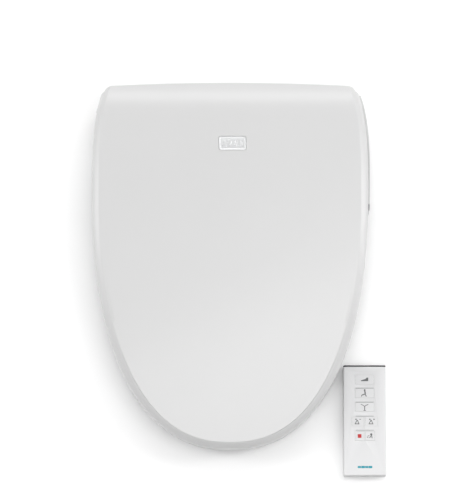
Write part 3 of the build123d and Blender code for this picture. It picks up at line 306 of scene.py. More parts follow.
def metal(name, colour, rough=0.3, brush=(1, 1, 60), scale=220.0):
    """Brushed or turned metal."""
    material, tree, principled = shader(name)
    lines = object_noise(tree, scale, 2.0, brush)
    tree.links.new(tinted(tree, lines.outputs["Fac"], colour, 0.05), principled.inputs["Base Color"])
    gloss = ramp(tree, lines.outputs["Fac"], rough * 0.75, rough * 1.3)
    tree.links.new(gloss, principled.inputs["Roughness"])
    bumped(tree, principled, lines.outputs["Fac"], 0.25, 0.00003)
    principled.inputs["Metallic"].default_value = 1.0
    return material


def rubber(name, colour):
    """Soft rubber with a dusty, pebbled surface."""
    material, tree, principled = shader(name)
    pebble = object_noise(tree, 1400.0, 4.0)
    tree.links.new(tinted(tree, pebble.outputs["Fac"], colour, 0.08), principled.inputs["Base Color"])
    tree.links.new(ramp(tree, pebble.outputs["Fac"], 0.62, 0.85), principled.inputs["Roughness"])
    bumped(tree, principled, pebble.outputs["Fac"], 0.5, 0.00008)
    principled.inputs["Specular IOR Level"].default_value = 0.3
    return material


def circuit_board(name, colour):
    """Solder mask with faint tracks."""
    material, tree, principled = shader(name)
    place = tree.nodes.new("ShaderNodeTexCoord")
    tracks = tree.nodes.new("ShaderNodeTexBrick")
    tracks.inputs["Scale"].default_value = 90.0
    tracks.inputs["Mortar Size"].default_value = 0.03
    tracks.inputs["Color1"].default_value = (*colour, 1)
    tracks.inputs["Color2"].default_value = (*[c * 0.8 for c in colour], 1)
    tracks.inputs["Mortar"].default_value = (*[min(1, c * 1.9 + 0.02) for c in colour], 1)
    tree.links.new(place.outputs["Object"], tracks.inputs["Vector"])
    tree.links.new(tracks.outputs["Color"], principled.inputs["Base Color"])
    bumped(tree, principled, tracks.outputs["Fac"], 0.3, 0.00005)
    principled.inputs["Roughness"].default_value = 0.35
    return material


def smoked(name, colour):
    """Dark glossy window plastic."""
    material, tree, principled = shader(name)
    haze = object_noise(tree, 120.0, 3.0)
    tree.links.new(tinted(tree, haze.outputs["Fac"], colour, 0.15), principled.inputs["Base Color"])
    tree.links.new(ramp(tree, haze.outputs["Fac"], 0.1, 0.18), principled.inputs["Roughness"])
    principled.inputs["Coat Weight"].default_value = 0.5
    return material


PALETTE = {}
EYE_R = 14 * MM
PIN_R = 6.05 * MM


def make_palette():
    """All finishes, made once."""
    lid_colour, seat_colour = tuple(lid_sizes().colour), tuple(seat_sizes().colour)
    PALETTE.update({
        "lid_white": plastic("Polished lid plastic", lid_colour, 0.34, 700.0, 0.00003, 0.12),
        "seat_white": plastic("Polished seat plastic", seat_colour, 0.24, 800.0, 0.00002, 0.25),
        "seat_base_white": plastic("Seat underside plastic", (0.52, 0.52, 0.52), 0.5, 500.0, 0.0001),
        "housing_white": plastic("Satin housing plastic", (0.54, 0.54, 0.54), 0.4, 900.0, 0.00006),
        "tray_grey": plastic("Moulded tray plastic", (0.3, 0.3, 0.3), 0.55, 500.0, 0.00012, spread=0.04),
        "rubber": rubber("Grey rubber", (0.34, 0.35, 0.36)),
        "badge_silver": metal("Brushed badge silver", (0.66, 0.665, 0.67), 0.42, (1, 40, 1), 160.0),
        "wand_white": plastic("Wand plastic", (0.62, 0.62, 0.62), 0.22, 1200.0, 0.00002, 0.3),
        "gear_white": plastic("Natural acetal", (0.72, 0.71, 0.66), 0.42, 1100.0, 0.00004, soft=0.1),
        "steel": metal("Turned steel", (0.55, 0.56, 0.57), 0.32),
        "damper_black": plastic("Damper body", (0.02, 0.02, 0.022), 0.4, 900.0, 0.00005),
        "tank_clear": plastic("Milky tank plastic", (0.6, 0.63, 0.65), 0.38, 300.0, 0.00008, soft=0.2),
        "valve_brass": metal("Machined brass", (0.72, 0.52, 0.22), 0.28),
        "valve_grey": plastic("Glass-filled plastic", (0.1, 0.105, 0.11), 0.6, 1500.0, 0.00012, spread=0.12),
        "tube_clear": plastic("Silicone tube", (0.58, 0.63, 0.66), 0.3, 700.0, 0.00003, soft=0.2),
        "heater_foil": metal("Heater foil", (0.75, 0.76, 0.77), 0.36, (1, 1, 1), 90.0),
        "board_green": circuit_board("Solder mask", (0.02, 0.16, 0.07)),
        "transformer_dark": plastic("Varnished core", (0.04, 0.038, 0.036), 0.45, 400.0, 0.0001, spread=0.1),
        "window_dark": smoked("Infrared window", (0.012, 0.012, 0.015)),
        "window_grey": smoked("Receiver window", (0.3, 0.3, 0.31)),
        "button_white": plastic("Button plastic", (0.5, 0.5, 0.5), 0.45, 1000.0, 0.00005),
        "remote_white": plastic("Remote plastic", (0.6, 0.6, 0.605), 0.42, 1300.0, 0.00005, 0.05),
        "key_white": plastic("Key plastic", (0.6, 0.6, 0.605), 0.42, 1300.0, 0.00005, 0.05),
        "battery_foil": plastic("Cell jacket", (0.06, 0.09, 0.16), 0.3, 200.0, 0.00003, 0.4),
        "print_grey": plastic("Grey print", (0.1, 0.103, 0.105), 0.5, 1500.0, 0.00001),
        "print_pale": plastic("Pale print", (0.3, 0.305, 0.31), 0.5, 1500.0, 0.00001),
        "print_red": plastic("Red print", (0.42, 0.008, 0.008), 0.45, 1500.0, 0.00001),
        "print_teal": plastic("Teal print", (0.0, 0.25, 0.31), 0.45, 1500.0, 0.00001),
        # Dark grey painted shade, standing in for the shadow in the rear vent openings.
        "vent_shade_grey": plastic("Shadow seam", (0.3, 0.31, 0.32), 0.6, 900.0, 0.00004),
    })


class BIDET_OT_palette(bpy.types.Operator):
    """Makes the procedural finishes that every other piece uses."""

    bl_idname = "bidet.palette"
    bl_label = "Palette"

    def execute(self, context):
        make_palette()
        return {"FINISHED"}


# ---------------------------------------------------------------- outline and heights
def lid_sizes():
    return bpy.context.scene.lid_sizes


def seat_sizes():
    return bpy.context.scene.seat_sizes


def half_at(y, inset=0.0):
    """Half width of the plan outline at y."""
    sizes = lid_sizes()
    half = LID_HIGH[0]
    corner_y = LID_HIGH[1] - 5 * MM
    if y > sizes.widest_y:
        share = (y - sizes.widest_y) / (corner_y - sizes.widest_y)
        return half - inset - sizes.narrowing * share**3
    share = min(1.0, (sizes.widest_y - y) / (sizes.widest_y - LID_LOW[1] - inset))
    return (half - inset) * (1 - share**sizes.nose_power) ** (1 / sizes.nose_power)


def outline(inset=0.0, fine=1, rear_inset=None, nose_inset=None):
    """Closed plan outline, from the middle of the rear edge round by the right."""
    sizes = lid_sizes()
    half = LID_HIGH[0]
    rear = LID_HIGH[1]
    arch = 5 * MM
    behind = inset if rear_inset is None else rear_inset
    ahead = inset if nose_inset is None else nose_inset
    corner_r = max(12 * MM - inset, 2 * MM)
    corner_y = rear - arch - behind
    corner_x = half_at(rear - arch, inset) - corner_r
    points = []
    for k in range(10 * fine):
        x = corner_x * k / (10 * fine)
        points.append((x, rear - behind - arch * (x / corner_x) ** 2))
    for k in range(8 * fine):
        turn = math.pi / 2 * (1 - k / (8 * fine))
        points.append((corner_x + corner_r * math.cos(turn), corner_y - corner_r + corner_r * math.sin(turn)))
    side_top = corner_y - corner_r
    for k in range(16 * fine):
        y = side_top + (sizes.widest_y - side_top) * k / (16 * fine)
        points.append((half_at(y, inset), y))
    reach = sizes.widest_y - LID_LOW[1] - ahead
    power = 2 / sizes.nose_power
    for k in range(40 * fine):
        turn = math.pi / 2 * k / (40 * fine)
        points.append(((half - inset) * math.cos(turn) ** power,
                       sizes.widest_y - reach * math.sin(turn) ** power))
    points.append((0.0, LID_LOW[1] + ahead))
    left = [(-x, y) for x, y in reversed(points[1:-1])]
    return points + left


LID_R = LID_HIGH[2] - HINGE.z
CROWN_TILT = math.radians(6)
CROWN_R = 5.8


def crown_z(y, drop=0.0):
    """Height of the lid's top at y."""
    if y > HINGE.y - (LID_R - drop) * math.sin(CROWN_TILT):
        return HINGE.z + math.sqrt(max(0.0, (LID_R - drop) ** 2 - (y - HINGE.y) ** 2))
    centre_y = HINGE.y + (CROWN_R - LID_R) * math.sin(CROWN_TILT)
    centre_z = HINGE.z - (CROWN_R - LID_R) * math.cos(CROWN_TILT)
    return centre_z + math.sqrt((CROWN_R - drop) ** 2 - (y - centre_y) ** 2)


LID_CENTRE = Vector((0.0, -0.17))
RIM_TIP, RIM_SIDE, RIM_HINGE = LID_LOW[2], LID_LOW[2] + 24 * MM, LID_LOW[2] + 71 * MM
SEAT_REAR_Y = -0.118


def rim_z(y):
    """Height of the lid's lower edge at y."""
    if y <= SEAT_REAR_Y:
        return RIM_TIP + (RIM_SIDE - RIM_TIP) * (y - LID_LOW[1]) / (SEAT_REAR_Y - LID_LOW[1])
    share = min(1.0, (y - SEAT_REAR_Y) / (HINGE.y - SEAT_REAR_Y))
    return RIM_SIDE + (RIM_HINGE - RIM_SIDE) * (3 * share**2 - 2 * share**3)


# ---------------------------------------------------------------- lid
class BIDET_OT_lid(bpy.types.Operator):
    """Builds the domed lid with its crease, rounded edge, rim and inner skin."""

    bl_idname = "bidet.lid"
    bl_label = "Lid"

    def execute(self, context):
        sizes = context.scene.lid_sizes
        width, drop, wall = sizes.bevel_width, sizes.bevel_drop, sizes.wall
        fine = 2
        thin = sizes.rear_edge / width
        nose = sizes.front_edge / width
        centre, levels, lip, middle, edge = LID_CENTRE, 34, 0.6 * MM, 0.45 * MM, 0.9 * MM
        base = outline(width, fine, width * thin, width * nose)
        crease = outline(width + middle, fine, width * thin + middle, width * nose + middle)
        top = outline(width + edge, fine, width * thin + edge, width * nose + edge)
        plan = {inset: outline(inset, fine) for inset in (0.0, 0.5 * MM, wall, wall + 0.5 * MM)}

        def crease_share(y):
            return min(1.0, max(0.0, (sizes.widest_y - y) / 0.2 - 0.5))

        def edge_drop(y):
            return min(drop, 0.72 * (crown_z(y) - rim_z(y)))

        rings = []
        plain = plan[0.0]
        rings.append([(x, y, rim_z(y)) for x, y in plan[0.5 * MM]])
        rings.append([(x, y, rim_z(y) + lip) for x, y in plain])
        for share in (0.3, 0.65):
            rings.append([(x, y, rim_z(y) + lip + share * (crown_z(by) - edge_drop(by) - rim_z(y) - lip))
                          for (x, y), (_, by) in zip(plain, base)])
        steps = 8 * fine
        last = sizes.edge_turn
        for k in range(steps + 1):
            turn = last * k / steps
            inset = width * (1 - math.cos(turn)) / (1 - math.cos(last))
            rise = math.sin(turn) / math.sin(last)
            ring = outline(inset, fine, inset * thin, inset * nose)
            rings.append([(x, y, crown_z(by) - edge_drop(by) * (1 - rise))
                          for (x, y), (_, by) in zip(ring, base)])
        rings.append([(x, y, crown_z(y) - sizes.groove * crease_share(y)) for x, y in crease])
        for k in range(levels):
            share = 1 - k / levels
            rings.append([(centre.x + (x - centre.x) * share, centre.y + (y - centre.y) * share,
                           crown_z(centre.y + (y - centre.y) * share)) for x, y in top])
        inner = []
        ceiling = outline(width + edge, fine, wall + 3 * MM, width)
        for k in range(1, levels + 1):
            share = k / levels
            inner.append([(centre.x + (x - centre.x) * share, centre.y + (y - centre.y) * share,
                           crown_z(centre.y + (y - centre.y) * share, wall)) for x, y in ceiling])
        steps = 5
        in_width = width - wall * 0.6
        for k in range(steps, -1, -1):
            turn = math.pi / 2 * k / steps
            step = in_width * (1 - math.cos(turn))
            ring = outline(wall + step, fine, wall + step * 0.2)
            inner.append([(x, y, max(rim_z(y) + 0.8 * MM,
                                     crown_z(by, wall) - edge_drop(by) * (1 - math.sin(turn)) - 0.2 * MM))
                          for (x, y), (_, by) in zip(ring, base)])
        inner.append([(x, y, rim_z(y)) for x, y in plan[wall]])
        bm = bmesh.new()
        rows = [[bm.verts.new(point) for point in ring] for ring in rings]
        deep = [[bm.verts.new(point) for point in ring] for ring in reversed(inner)]
        count = len(rows[0])
        for low, high in list(zip(rows, rows[1:])) + list(zip(deep, deep[1:])) + [(rows[0], deep[0])]:
            band(bm, low, high)
        for row, z in ((rows[-1], crown_z(centre.y)), (deep[-1], crown_z(centre.y, wall))):
            middle = bm.verts.new((centre.x, centre.y, z))
            for i in range(count):
                bm.faces.new((row[i], row[(i + 1) % count], middle))
        mesh = mesh_from(bm, "lid_skin", 30.0)
        lid = new_piece("lid_skin", mesh, PALETTE["lid_white"], "lid")
        cut_recess(lid)
        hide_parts("lid_shell")
        lid_ears()
        return {"FINISHED"}


def badge_frame():
    """Matrix of the badge's plane on the crown."""
    x = (BADGE_LOW[0] + BADGE_HIGH[0]) / 2
    y = (BADGE_LOW[1] + BADGE_HIGH[1]) / 2
    lean = (crown_z(y + 5 * MM) - crown_z(y - 5 * MM)) / (10 * MM)
    normal = Vector((0, -lean, 1)).normalized()
    across = Vector((1, 0, 0))
    up = normal.cross(across)
    turn = Matrix((across, up, normal)).transposed().to_4x4()
    return Matrix.Translation((x, y, crown_z(y))) @ turn


def rounded_rectangle(width, height, radius, steps=6):
    """Closed outline of a rounded rectangle about the origin."""
    points = []
    for quarter, (sx, sy) in enumerate(((1, 1), (-1, 1), (-1, -1), (1, -1))):
        centre = (sx * (width / 2 - radius), sy * (height / 2 - radius))
        for k in range(steps + 1):
            turn = math.pi / 2 * (quarter + k / steps)
            points.append((centre[0] + radius * math.cos(turn), centre[1] + radius * math.sin(turn)))
    return points


def boolean(piece, bm, operation):
    """Cuts or joins a closed bmesh into a piece and keeps a plain mesh."""
    tool_mesh = bpy.data.meshes.new("tool")
    bmesh.ops.recalc_face_normals(bm, faces=bm.faces)
    bm.to_mesh(tool_mesh)
    bm.free()
    tool = bpy.data.objects.new("tool", tool_mesh)
    bpy.context.scene.collection.objects.link(tool)
    step = piece.modifiers.new("cut", "BOOLEAN")
    step.operation = operation
    step.solver = "EXACT"
    step.object = tool
    applied(piece)
    bpy.data.objects.remove(tool)
    piece.data.polygons.foreach_set("use_smooth", [True] * len(piece.data.polygons))
    piece.data.set_sharp_from_angle(angle=math.radians(30))


def cut_recess(lid):
    """Sinks the badge's recess into the lid."""
    place = badge_frame()
    size = (39.8 * MM, 20.3 * MM, 3.3 * MM)
    rings = []
    for depth, grow in ((-1.5 * MM, 0.0), (-0.3 * MM, 0.0), (0.0, 0.3 * MM), (1.5 * MM, 2.0 * MM)):
        ring = rounded_rectangle(size[0] + grow, size[1] + grow, size[2] + grow / 2)
        rings.append([place @ Vector((x, y, depth)) for x, y in ring])
    boolean(lid, skin(rings, cap_first=True, cap_last=True), "DIFFERENCE")


def bevelled_plate(bm, side, reach, bevel, hole, profile, shrunk):
    """Closed plate across X with a hole and rounded edges; shrunk gives its inset profile."""
    inner_x, outer_x = side * reach[0], side * reach[1]
    full, part = side * bevel, side * bevel * 0.3
    rows = []
    for x, points in (
        (inner_x, hole), (inner_x, shrunk(bevel)), (inner_x + part, shrunk(bevel * 0.3)),
        (inner_x + full, profile), (outer_x - full, profile), (outer_x - part, shrunk(bevel * 0.3)),
        (outer_x, shrunk(bevel)), (outer_x, hole),
    ):
        rows.append([bm.verts.new((x, y, z)) for y, z in points])
    for low, high in list(zip(rows, rows[1:])) + [(rows[-1], rows[0])]:
        band(bm, low, high)


def lid_ears():
    """Hinge ears of the lid, at listed places in X."""
    ear_in, ear_out = 0.160, 0.172
    under_skin, shoulder = 3.2 * MM, 2.2 * MM
    bm = bmesh.new()
    radius, pin, bevel = EYE_R, PIN_R, 1.2 * MM
    for side in (-1, 1):
        count = 48
        profile = []
        top_z = crown_z(HINGE.y, under_skin)
        for k in range(count // 2 + 1):
            turn = math.pi + math.pi * k / (count // 2)
            profile.append((HINGE.y + radius * math.cos(turn), HINGE.z + radius * math.sin(turn)))
        for k in range(1, 8):
            profile.append((HINGE.y + radius, HINGE.z + (top_z - shoulder - HINGE.z) * k / 8))
        for k in range(11):
            y = HINGE.y + radius - 2 * radius * k / 10
            profile.append((y, crown_z(y, under_skin)))
        for k in range(7, 0, -1):
            profile.append((HINGE.y - radius, HINGE.z + (top_z - shoulder - HINGE.z) * k / 8))
        hole = []
        for y, z in profile:
            turn = math.atan2(z - HINGE.z, y - HINGE.y)
            hole.append((HINGE.y + pin * math.cos(turn), HINGE.z + pin * math.sin(turn)))

        def shrunk(amount):
            points = []
            for y, z in profile:
                dy, dz = y - HINGE.y, z - HINGE.z
                scale = 1 - amount / max(EYE_R, math.hypot(dy, dz))
                points.append((HINGE.y + dy * scale, HINGE.z + dz * scale))
            return points

        bevelled_plate(bm, side, (ear_in, ear_out), bevel, hole, profile, shrunk)
    return new_piece("lid_ears", mesh_from(bm, "lid_ears"), PALETTE["lid_white"], "lid")


class BIDET_OT_badge(bpy.types.Operator):
    """Builds the silver plate with plain ripples set into the lid."""

    bl_idname = "bidet.badge"
    bl_label = "Badge"

    def execute(self, context):
        place = badge_frame()
        wide, tall, corner = 39.0, 19.5, 3.0
        rings = []
        for inset, depth in ((0.0, -1.45), (0.0, -0.95), (0.3, -0.6), (1.3, -0.6), (1.8, -1.05), (2.3, -1.1)):
            ring = rounded_rectangle(
                (wide - 2 * inset) * MM, (tall - 2 * inset) * MM, (corner - inset * 0.8) * MM)
            rings.append([place @ Vector((x, y, depth * MM)) for x, y in ring])
        bm = skin(rings, cap_first=True, cap_last=True)
        for k in range(6):
            centre = ((k - 2.5) * 5.0 + 0.7 * math.sin(k * 2.7)) * MM
            half, rise = (1.0 + 0.35 * math.sin(k * 4.1)) * MM, (4.2 + 1.3 * math.sin(k * 1.9)) * MM
            wave = []
            for level, z in ((1.0, -1.12), (0.85, -0.7), (0.45, -0.45)):
                length = 2 * rise * (0.7 + 0.3 * level)
                loop = rounded_rectangle(2 * half * level, length, half * level * 0.9, 4)
                slant = 0.45 - 0.12 * k
                wave.append([place @ Vector((centre + x + slant * y, y, z * MM)) for x, y in loop])
            rows = [[bm.verts.new(point) for point in ring] for ring in wave]
            for low, high in zip(rows, rows[1:]):
                band(bm, low, high)
            bm.faces.new(rows[-1])
            bm.faces.new(rows[0])
        new_piece("badge_plate", mesh_from(bm, "badge_plate", 50.0), PALETTE["badge_silver"], "lid",
                  ("lid_badge",))
        return {"FINISHED"}


# ---------------------------------------------------------------- seat
def seat_top(y):
    """Height of the seat's top at y."""
    low, high = 38 * MM, 60 * MM
    return low + (high - low) * (y - LID_LOW[1]) / (SEAT_REAR_Y - LID_LOW[1])


OPEN_MID = Vector((0.0, -0.285))
OPEN_HALF = (0.108, 0.122)
SEAT_INSET = 3 * MM


def seat_edge(turn):
    """Outer point of the seat in a direction from the opening's middle."""
    ray = Vector((math.cos(turn), math.sin(turn)))
    low, high = 0.02, 0.6
    for _ in range(40):
        middle = (low + high) / 2
        point = OPEN_MID + ray * middle
        inside = (LID_LOW[1] + SEAT_INSET < point.y < SEAT_REAR_Y
                  and abs(point.x) < half_at(point.y, SEAT_INSET))
        if inside:
            low = middle
        else:
            high = middle
    return OPEN_MID + ray * low


class BIDET_OT_seat(bpy.types.Operator):
    """Builds the seat ring with its dished top, rounded edges and hinge arms."""

    bl_idname = "bidet.seat"
    bl_label = "Seat"

    def execute(self, context):
        sizes = context.scene.seat_sizes
        count = 288
        corner = Vector((half_at(SEAT_REAR_Y, SEAT_INSET), SEAT_REAR_Y)) - OPEN_MID
        corner_turn = math.atan2(corner.y, corner.x)
        turns = [2 * math.pi * k / count for k in range(count)]
        for exact in (corner_turn, math.pi - corner_turn):
            nearest = min(range(count), key=lambda k: abs(turns[k] - exact))
            turns[nearest] = exact
        outer = [seat_edge(turn) for turn in turns]
        rays = [(point - OPEN_MID).normalized() for point in outer]
        inner = [OPEN_MID + ray * (1 / math.hypot(ray.x / OPEN_HALF[0], ray.y / OPEN_HALF[1]))
                 for ray in rays]

        def ring(depth_out, depth_in, heights):
            """Points a distance in from the outer edge, or out from the inner one."""
            row = []
            for o, i in zip(outer, inner):
                step = (i - o).normalized()
                point = o + step * depth_out if depth_in is None else i - step * depth_in
                row.append((point.x, point.y, heights(point.y)))
            return row

        def blend_ring(share):
            """Points between the two roundings, dished towards the opening."""
            row = []
            for o, i in zip(outer, inner):
                step = (i - o).normalized()
                a, b = o + step * sizes.round_out, i - step * sizes.round_in
                point = a.lerp(b, share)
                fall = sizes.dish * (level + (1 - level) * share**2)
                row.append((point.x, point.y, seat_top(point.y) - fall + sizes.dish * level * (1 - share)))
            return row

        level = 0.15
        base = SEAT_LOW[2]
        ledge = base + 3.1 * MM
        soft, lip, wall = 0.4 * MM, 0.5 * MM, 3 * MM
        rings = [ring(soft, None, lambda y: base), ring(0.0, None, lambda y: base + lip)]
        for k in range(7):
            turn = math.pi / 2 * k / 6
            rings.append(ring(sizes.round_out * (1 - math.cos(turn)), None,
                              lambda y, t=turn: seat_top(y) - sizes.round_out * (1 - math.sin(t)) * 1.1))
        for k in range(1, 12):
            rings.append(blend_ring(k / 12))
        for k in range(8, -1, -1):
            turn = math.pi / 2 * k / 8
            rings.append(ring(None, sizes.round_in * (1 - math.cos(turn)),
                              lambda y, t=turn: seat_top(y) - sizes.dish - sizes.fall_in * (1 - math.sin(t))))
        rings.append(ring(None, 0.0, lambda y: base + lip))
        rings.append(ring(None, soft, lambda y: base))
        rings.append(ring(None, wall, lambda y: base))
        rings.append(ring(None, wall, lambda y: ledge))
        rings.append(ring(wall, None, lambda y: ledge))
        rings.append(ring(wall, None, lambda y: base))
        seat = new_piece("seat_skin", mesh_from(skin(rings, closed_tube=True), "seat_skin"),
                         PALETTE["seat_white"], "seat")
        cutter = bmesh.new()
        bridge_low = Vector((BAY_LOW[0] - 4 * MM, BAY_LOW[1] - 30 * MM, 0))
        bridge_high = Vector((BAY_HIGH[0] + 4 * MM, 0, BAY_HIGH[2] + 3 * MM))
        bmesh.ops.create_cube(cutter, size=1.0, matrix=Matrix.Translation((bridge_low + bridge_high) / 2)
                              @ Matrix.Diagonal((*(bridge_high - bridge_low), 1)))
        boolean(seat, cutter, "DIFFERENCE")
        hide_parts("seat_top_shell")
        seat_arms()
        return {"FINISHED"}


def seat_arms():
    """Bars from the ring's rear to the hinge line, with round eyes."""
    arm_in, arm_out = 0.1415, 0.1585
    start_y = SEAT_REAR_Y - 20 * MM
    radius, pin, bevel = EYE_R, PIN_R, 2.2 * MM
    bm = bmesh.new()
    high_start = Vector((start_y, seat_top(start_y) - 7 * MM))
    low_start = Vector((start_y, seat_top(start_y) - 25 * MM))
    eye = Vector((HINGE.y, HINGE.z))
    profile = []
    slope = math.atan2(eye.y + radius - high_start.y, eye.x - high_start.x)
    for k in range(29):
        turn = math.pi / 2 + slope - (math.pi + slope * 0.4) * k / 28
        profile.append(eye + radius * Vector((math.cos(turn), math.sin(turn))))
    low_end = profile[-1]
    for k in range(1, 12):
        profile.append(low_end.lerp(low_start, k / 12))
    for k in range(5):
        profile.append(low_start.lerp(high_start, k / 4))
    for k in range(1, 12):
        profile.append(high_start.lerp(profile[0], k / 12))
    count = len(profile)
    centre = sum(profile, Vector((0, 0))) / count

    def shrunk(amount):
        points = []
        for i, point in enumerate(profile):
            tangent = (profile[(i + 1) % count] - profile[i - 1]).normalized()
            normal = Vector((tangent.y, -tangent.x))
            if (centre - point).dot(normal) < 0:
                normal = -normal
            points.append(point + normal * amount)
        return points

    hole = []
    for point in profile:
        away = point - eye
        hole.append(eye + away.normalized() * pin)
    for side in (-1, 1):
        bevelled_plate(bm, side, (arm_in, arm_out), bevel, hole, profile, shrunk)
    return new_piece("seat_arms", mesh_from(bm, "seat_arms"), PALETTE["seat_white"], "seat")


# ---------------------------------------------------------------- housing
class BIDET_OT_housing(bpy.types.Operator):
    """Rounds the edges of the housing's shells, tray, bay, panel and small covers."""

    bl_idname = "bidet.housing"
    bl_label = "Housing"

    def execute(self, context):
        white, grey = PALETTE["housing_white"], PALETTE["tray_grey"]
        for node, width, material, body in (
            ("housing_cover", 1.0 * MM, white, "base"),
            ("side_panel", 1.6 * MM, white, "base"),
            ("nozzle_bay", 1.0 * MM, white, "base"),
            ("base_tray", 0.8 * MM, grey, "base"),
            ("mounting_plate", 0.8 * MM, grey, "base"),
            ("filter_cartridge", 0.6 * MM, white, "filter_cartridge"),
            ("release_button", 0.8 * MM, white, "release_button"),
            ("dryer_flap", 0.3 * MM, white, "dryer_flap"),
            ("water_inlet_nipple", 0.4 * MM, PALETTE["valve_brass"], "base"),
        ):
            stand_in(node, width, material, body)
        return {"FINISHED"}


def node_tree_of_bars(name, material):
    """Geometry Nodes tree: bars in a row along a direction, with named sizes."""
    tree = bpy.data.node_groups.new(name, "GeometryNodeTree")
    tree.is_modifier = True
    face = tree.interface
    face.new_socket("Geometry", in_out="INPUT", socket_type="NodeSocketGeometry")
    sockets = {}
    for label, kind in (("Count", "NodeSocketInt"), ("Start", "NodeSocketVector"),
                        ("Step", "NodeSocketVector"), ("Bar Size", "NodeSocketVector")):
        sockets[label] = face.new_socket(label, in_out="INPUT", socket_type=kind).identifier
    face.new_socket("Geometry", in_out="OUTPUT", socket_type="NodeSocketGeometry")
    nodes, links = tree.nodes, tree.links
    source = nodes.new("NodeGroupInput")
    target = nodes.new("NodeGroupOutput")
    line = nodes.new("GeometryNodeMeshLine")
    line.mode = "OFFSET"
    bar = nodes.new("GeometryNodeMeshCube")
    instance = nodes.new("GeometryNodeInstanceOnPoints")
    real = nodes.new("GeometryNodeRealizeInstances")
    paint = nodes.new("GeometryNodeSetMaterial")
    paint.inputs["Material"].default_value = material
    links.new(source.outputs["Count"], line.inputs["Count"])
    links.new(source.outputs["Start"], line.inputs["Start Location"])
    links.new(source.outputs["Step"], line.inputs["Offset"])
    links.new(source.outputs["Bar Size"], bar.inputs["Size"])
    links.new(line.outputs["Mesh"], instance.inputs["Points"])
    links.new(bar.outputs["Mesh"], instance.inputs["Instance"])
    links.new(instance.outputs["Instances"], real.inputs["Geometry"])
    links.new(real.outputs["Geometry"], paint.inputs["Geometry"])
    links.new(paint.outputs["Geometry"], target.inputs["Geometry"])
    return tree, sockets


def bars(name, material, body, count, start, step, size, bevel=0.0):
    """Row of bars made by Geometry Nodes and kept as a plain mesh."""
    tree, sockets = node_tree_of_bars(name + "_row", material)
    piece = bpy.data.objects.new(name, bpy.data.meshes.new(name))
    bpy.context.scene.collection.objects.link(piece)
    row = piece.modifiers.new("row", "NODES")
    row.node_group = tree
    for label, value in (("Count", count), ("Start", start), ("Step", step), ("Bar Size", size)):
        row[sockets[label]] = value
    if bevel:
        edge = piece.modifiers.new("edge", "BEVEL")
        edge.width = bevel
        edge.segments = 2
    applied(piece)
    piece.data.polygons.foreach_set("use_smooth", [True] * len(piece.data.polygons))
    piece.data.set_sharp_from_angle(angle=math.radians(50))
    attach(piece, body)
    return piece


class BIDET_OT_ribs(bpy.types.Operator):
    """Adds the vent ribs, finger grips and tray ribs that repeat in rows; the vent ribs are dark grey as painted
    shade.
    """

    bl_idname = "bidet.ribs"
    bl_label = "Ribs and grips"

    def execute(self, context):
        low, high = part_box("filter_cartridge")
        bars("cartridge_grip", PALETTE["housing_white"], "filter_cartridge", 7,
             (low[0] + 0.6 * MM, low[1] + 9 * MM, (low[2] + high[2]) / 2), (0, 5.3 * MM, 0),
             (1.6 * MM, 1.6 * MM, 12 * MM), 0.5 * MM)
        low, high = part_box("battery_cover")
        bars("cover_grip", PALETTE["remote_white"], "battery_cover", 6,
             ((low[0] + high[0]) / 2, low[1] + 28 * MM, low[2] + 0.05 * MM), (0, 2.4 * MM, 0),
             (16 * MM, 1.0 * MM, 0.4 * MM), 0.15 * MM)
        low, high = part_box("housing_cover")
        # Rear vent ribs in dark grey: painted shade of the vent openings.
        bars("rear_vent_shade_ribs", PALETTE["vent_shade_grey"], "base", 13,
             (-36 * MM, high[1] - 0.2 * MM, 62 * MM), (6 * MM, 0, 0), (2.6 * MM, 1.0 * MM, 22 * MM), 0.3 * MM)
        low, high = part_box("base_tray")
        bars("tray_ribs", PALETTE["tray_grey"], "base", 9,
             (-96 * MM, -75 * MM, low[2] - 0.6 * MM), (24 * MM, 0, 0), (2 * MM, 56 * MM, 1.6 * MM), 0.4 * MM)
        return {"FINISHED"}


# ---------------------------------------------------------------- remote
PRINT_THICK = 0.06 * MM
PRINT_SINK = 0.01 * MM
FIRST_DIVIDER = 31 * MM     # from the remote's top end
KEY_PITCH = 20.4 * MM
MARK_DOWN = 145.6 * MM


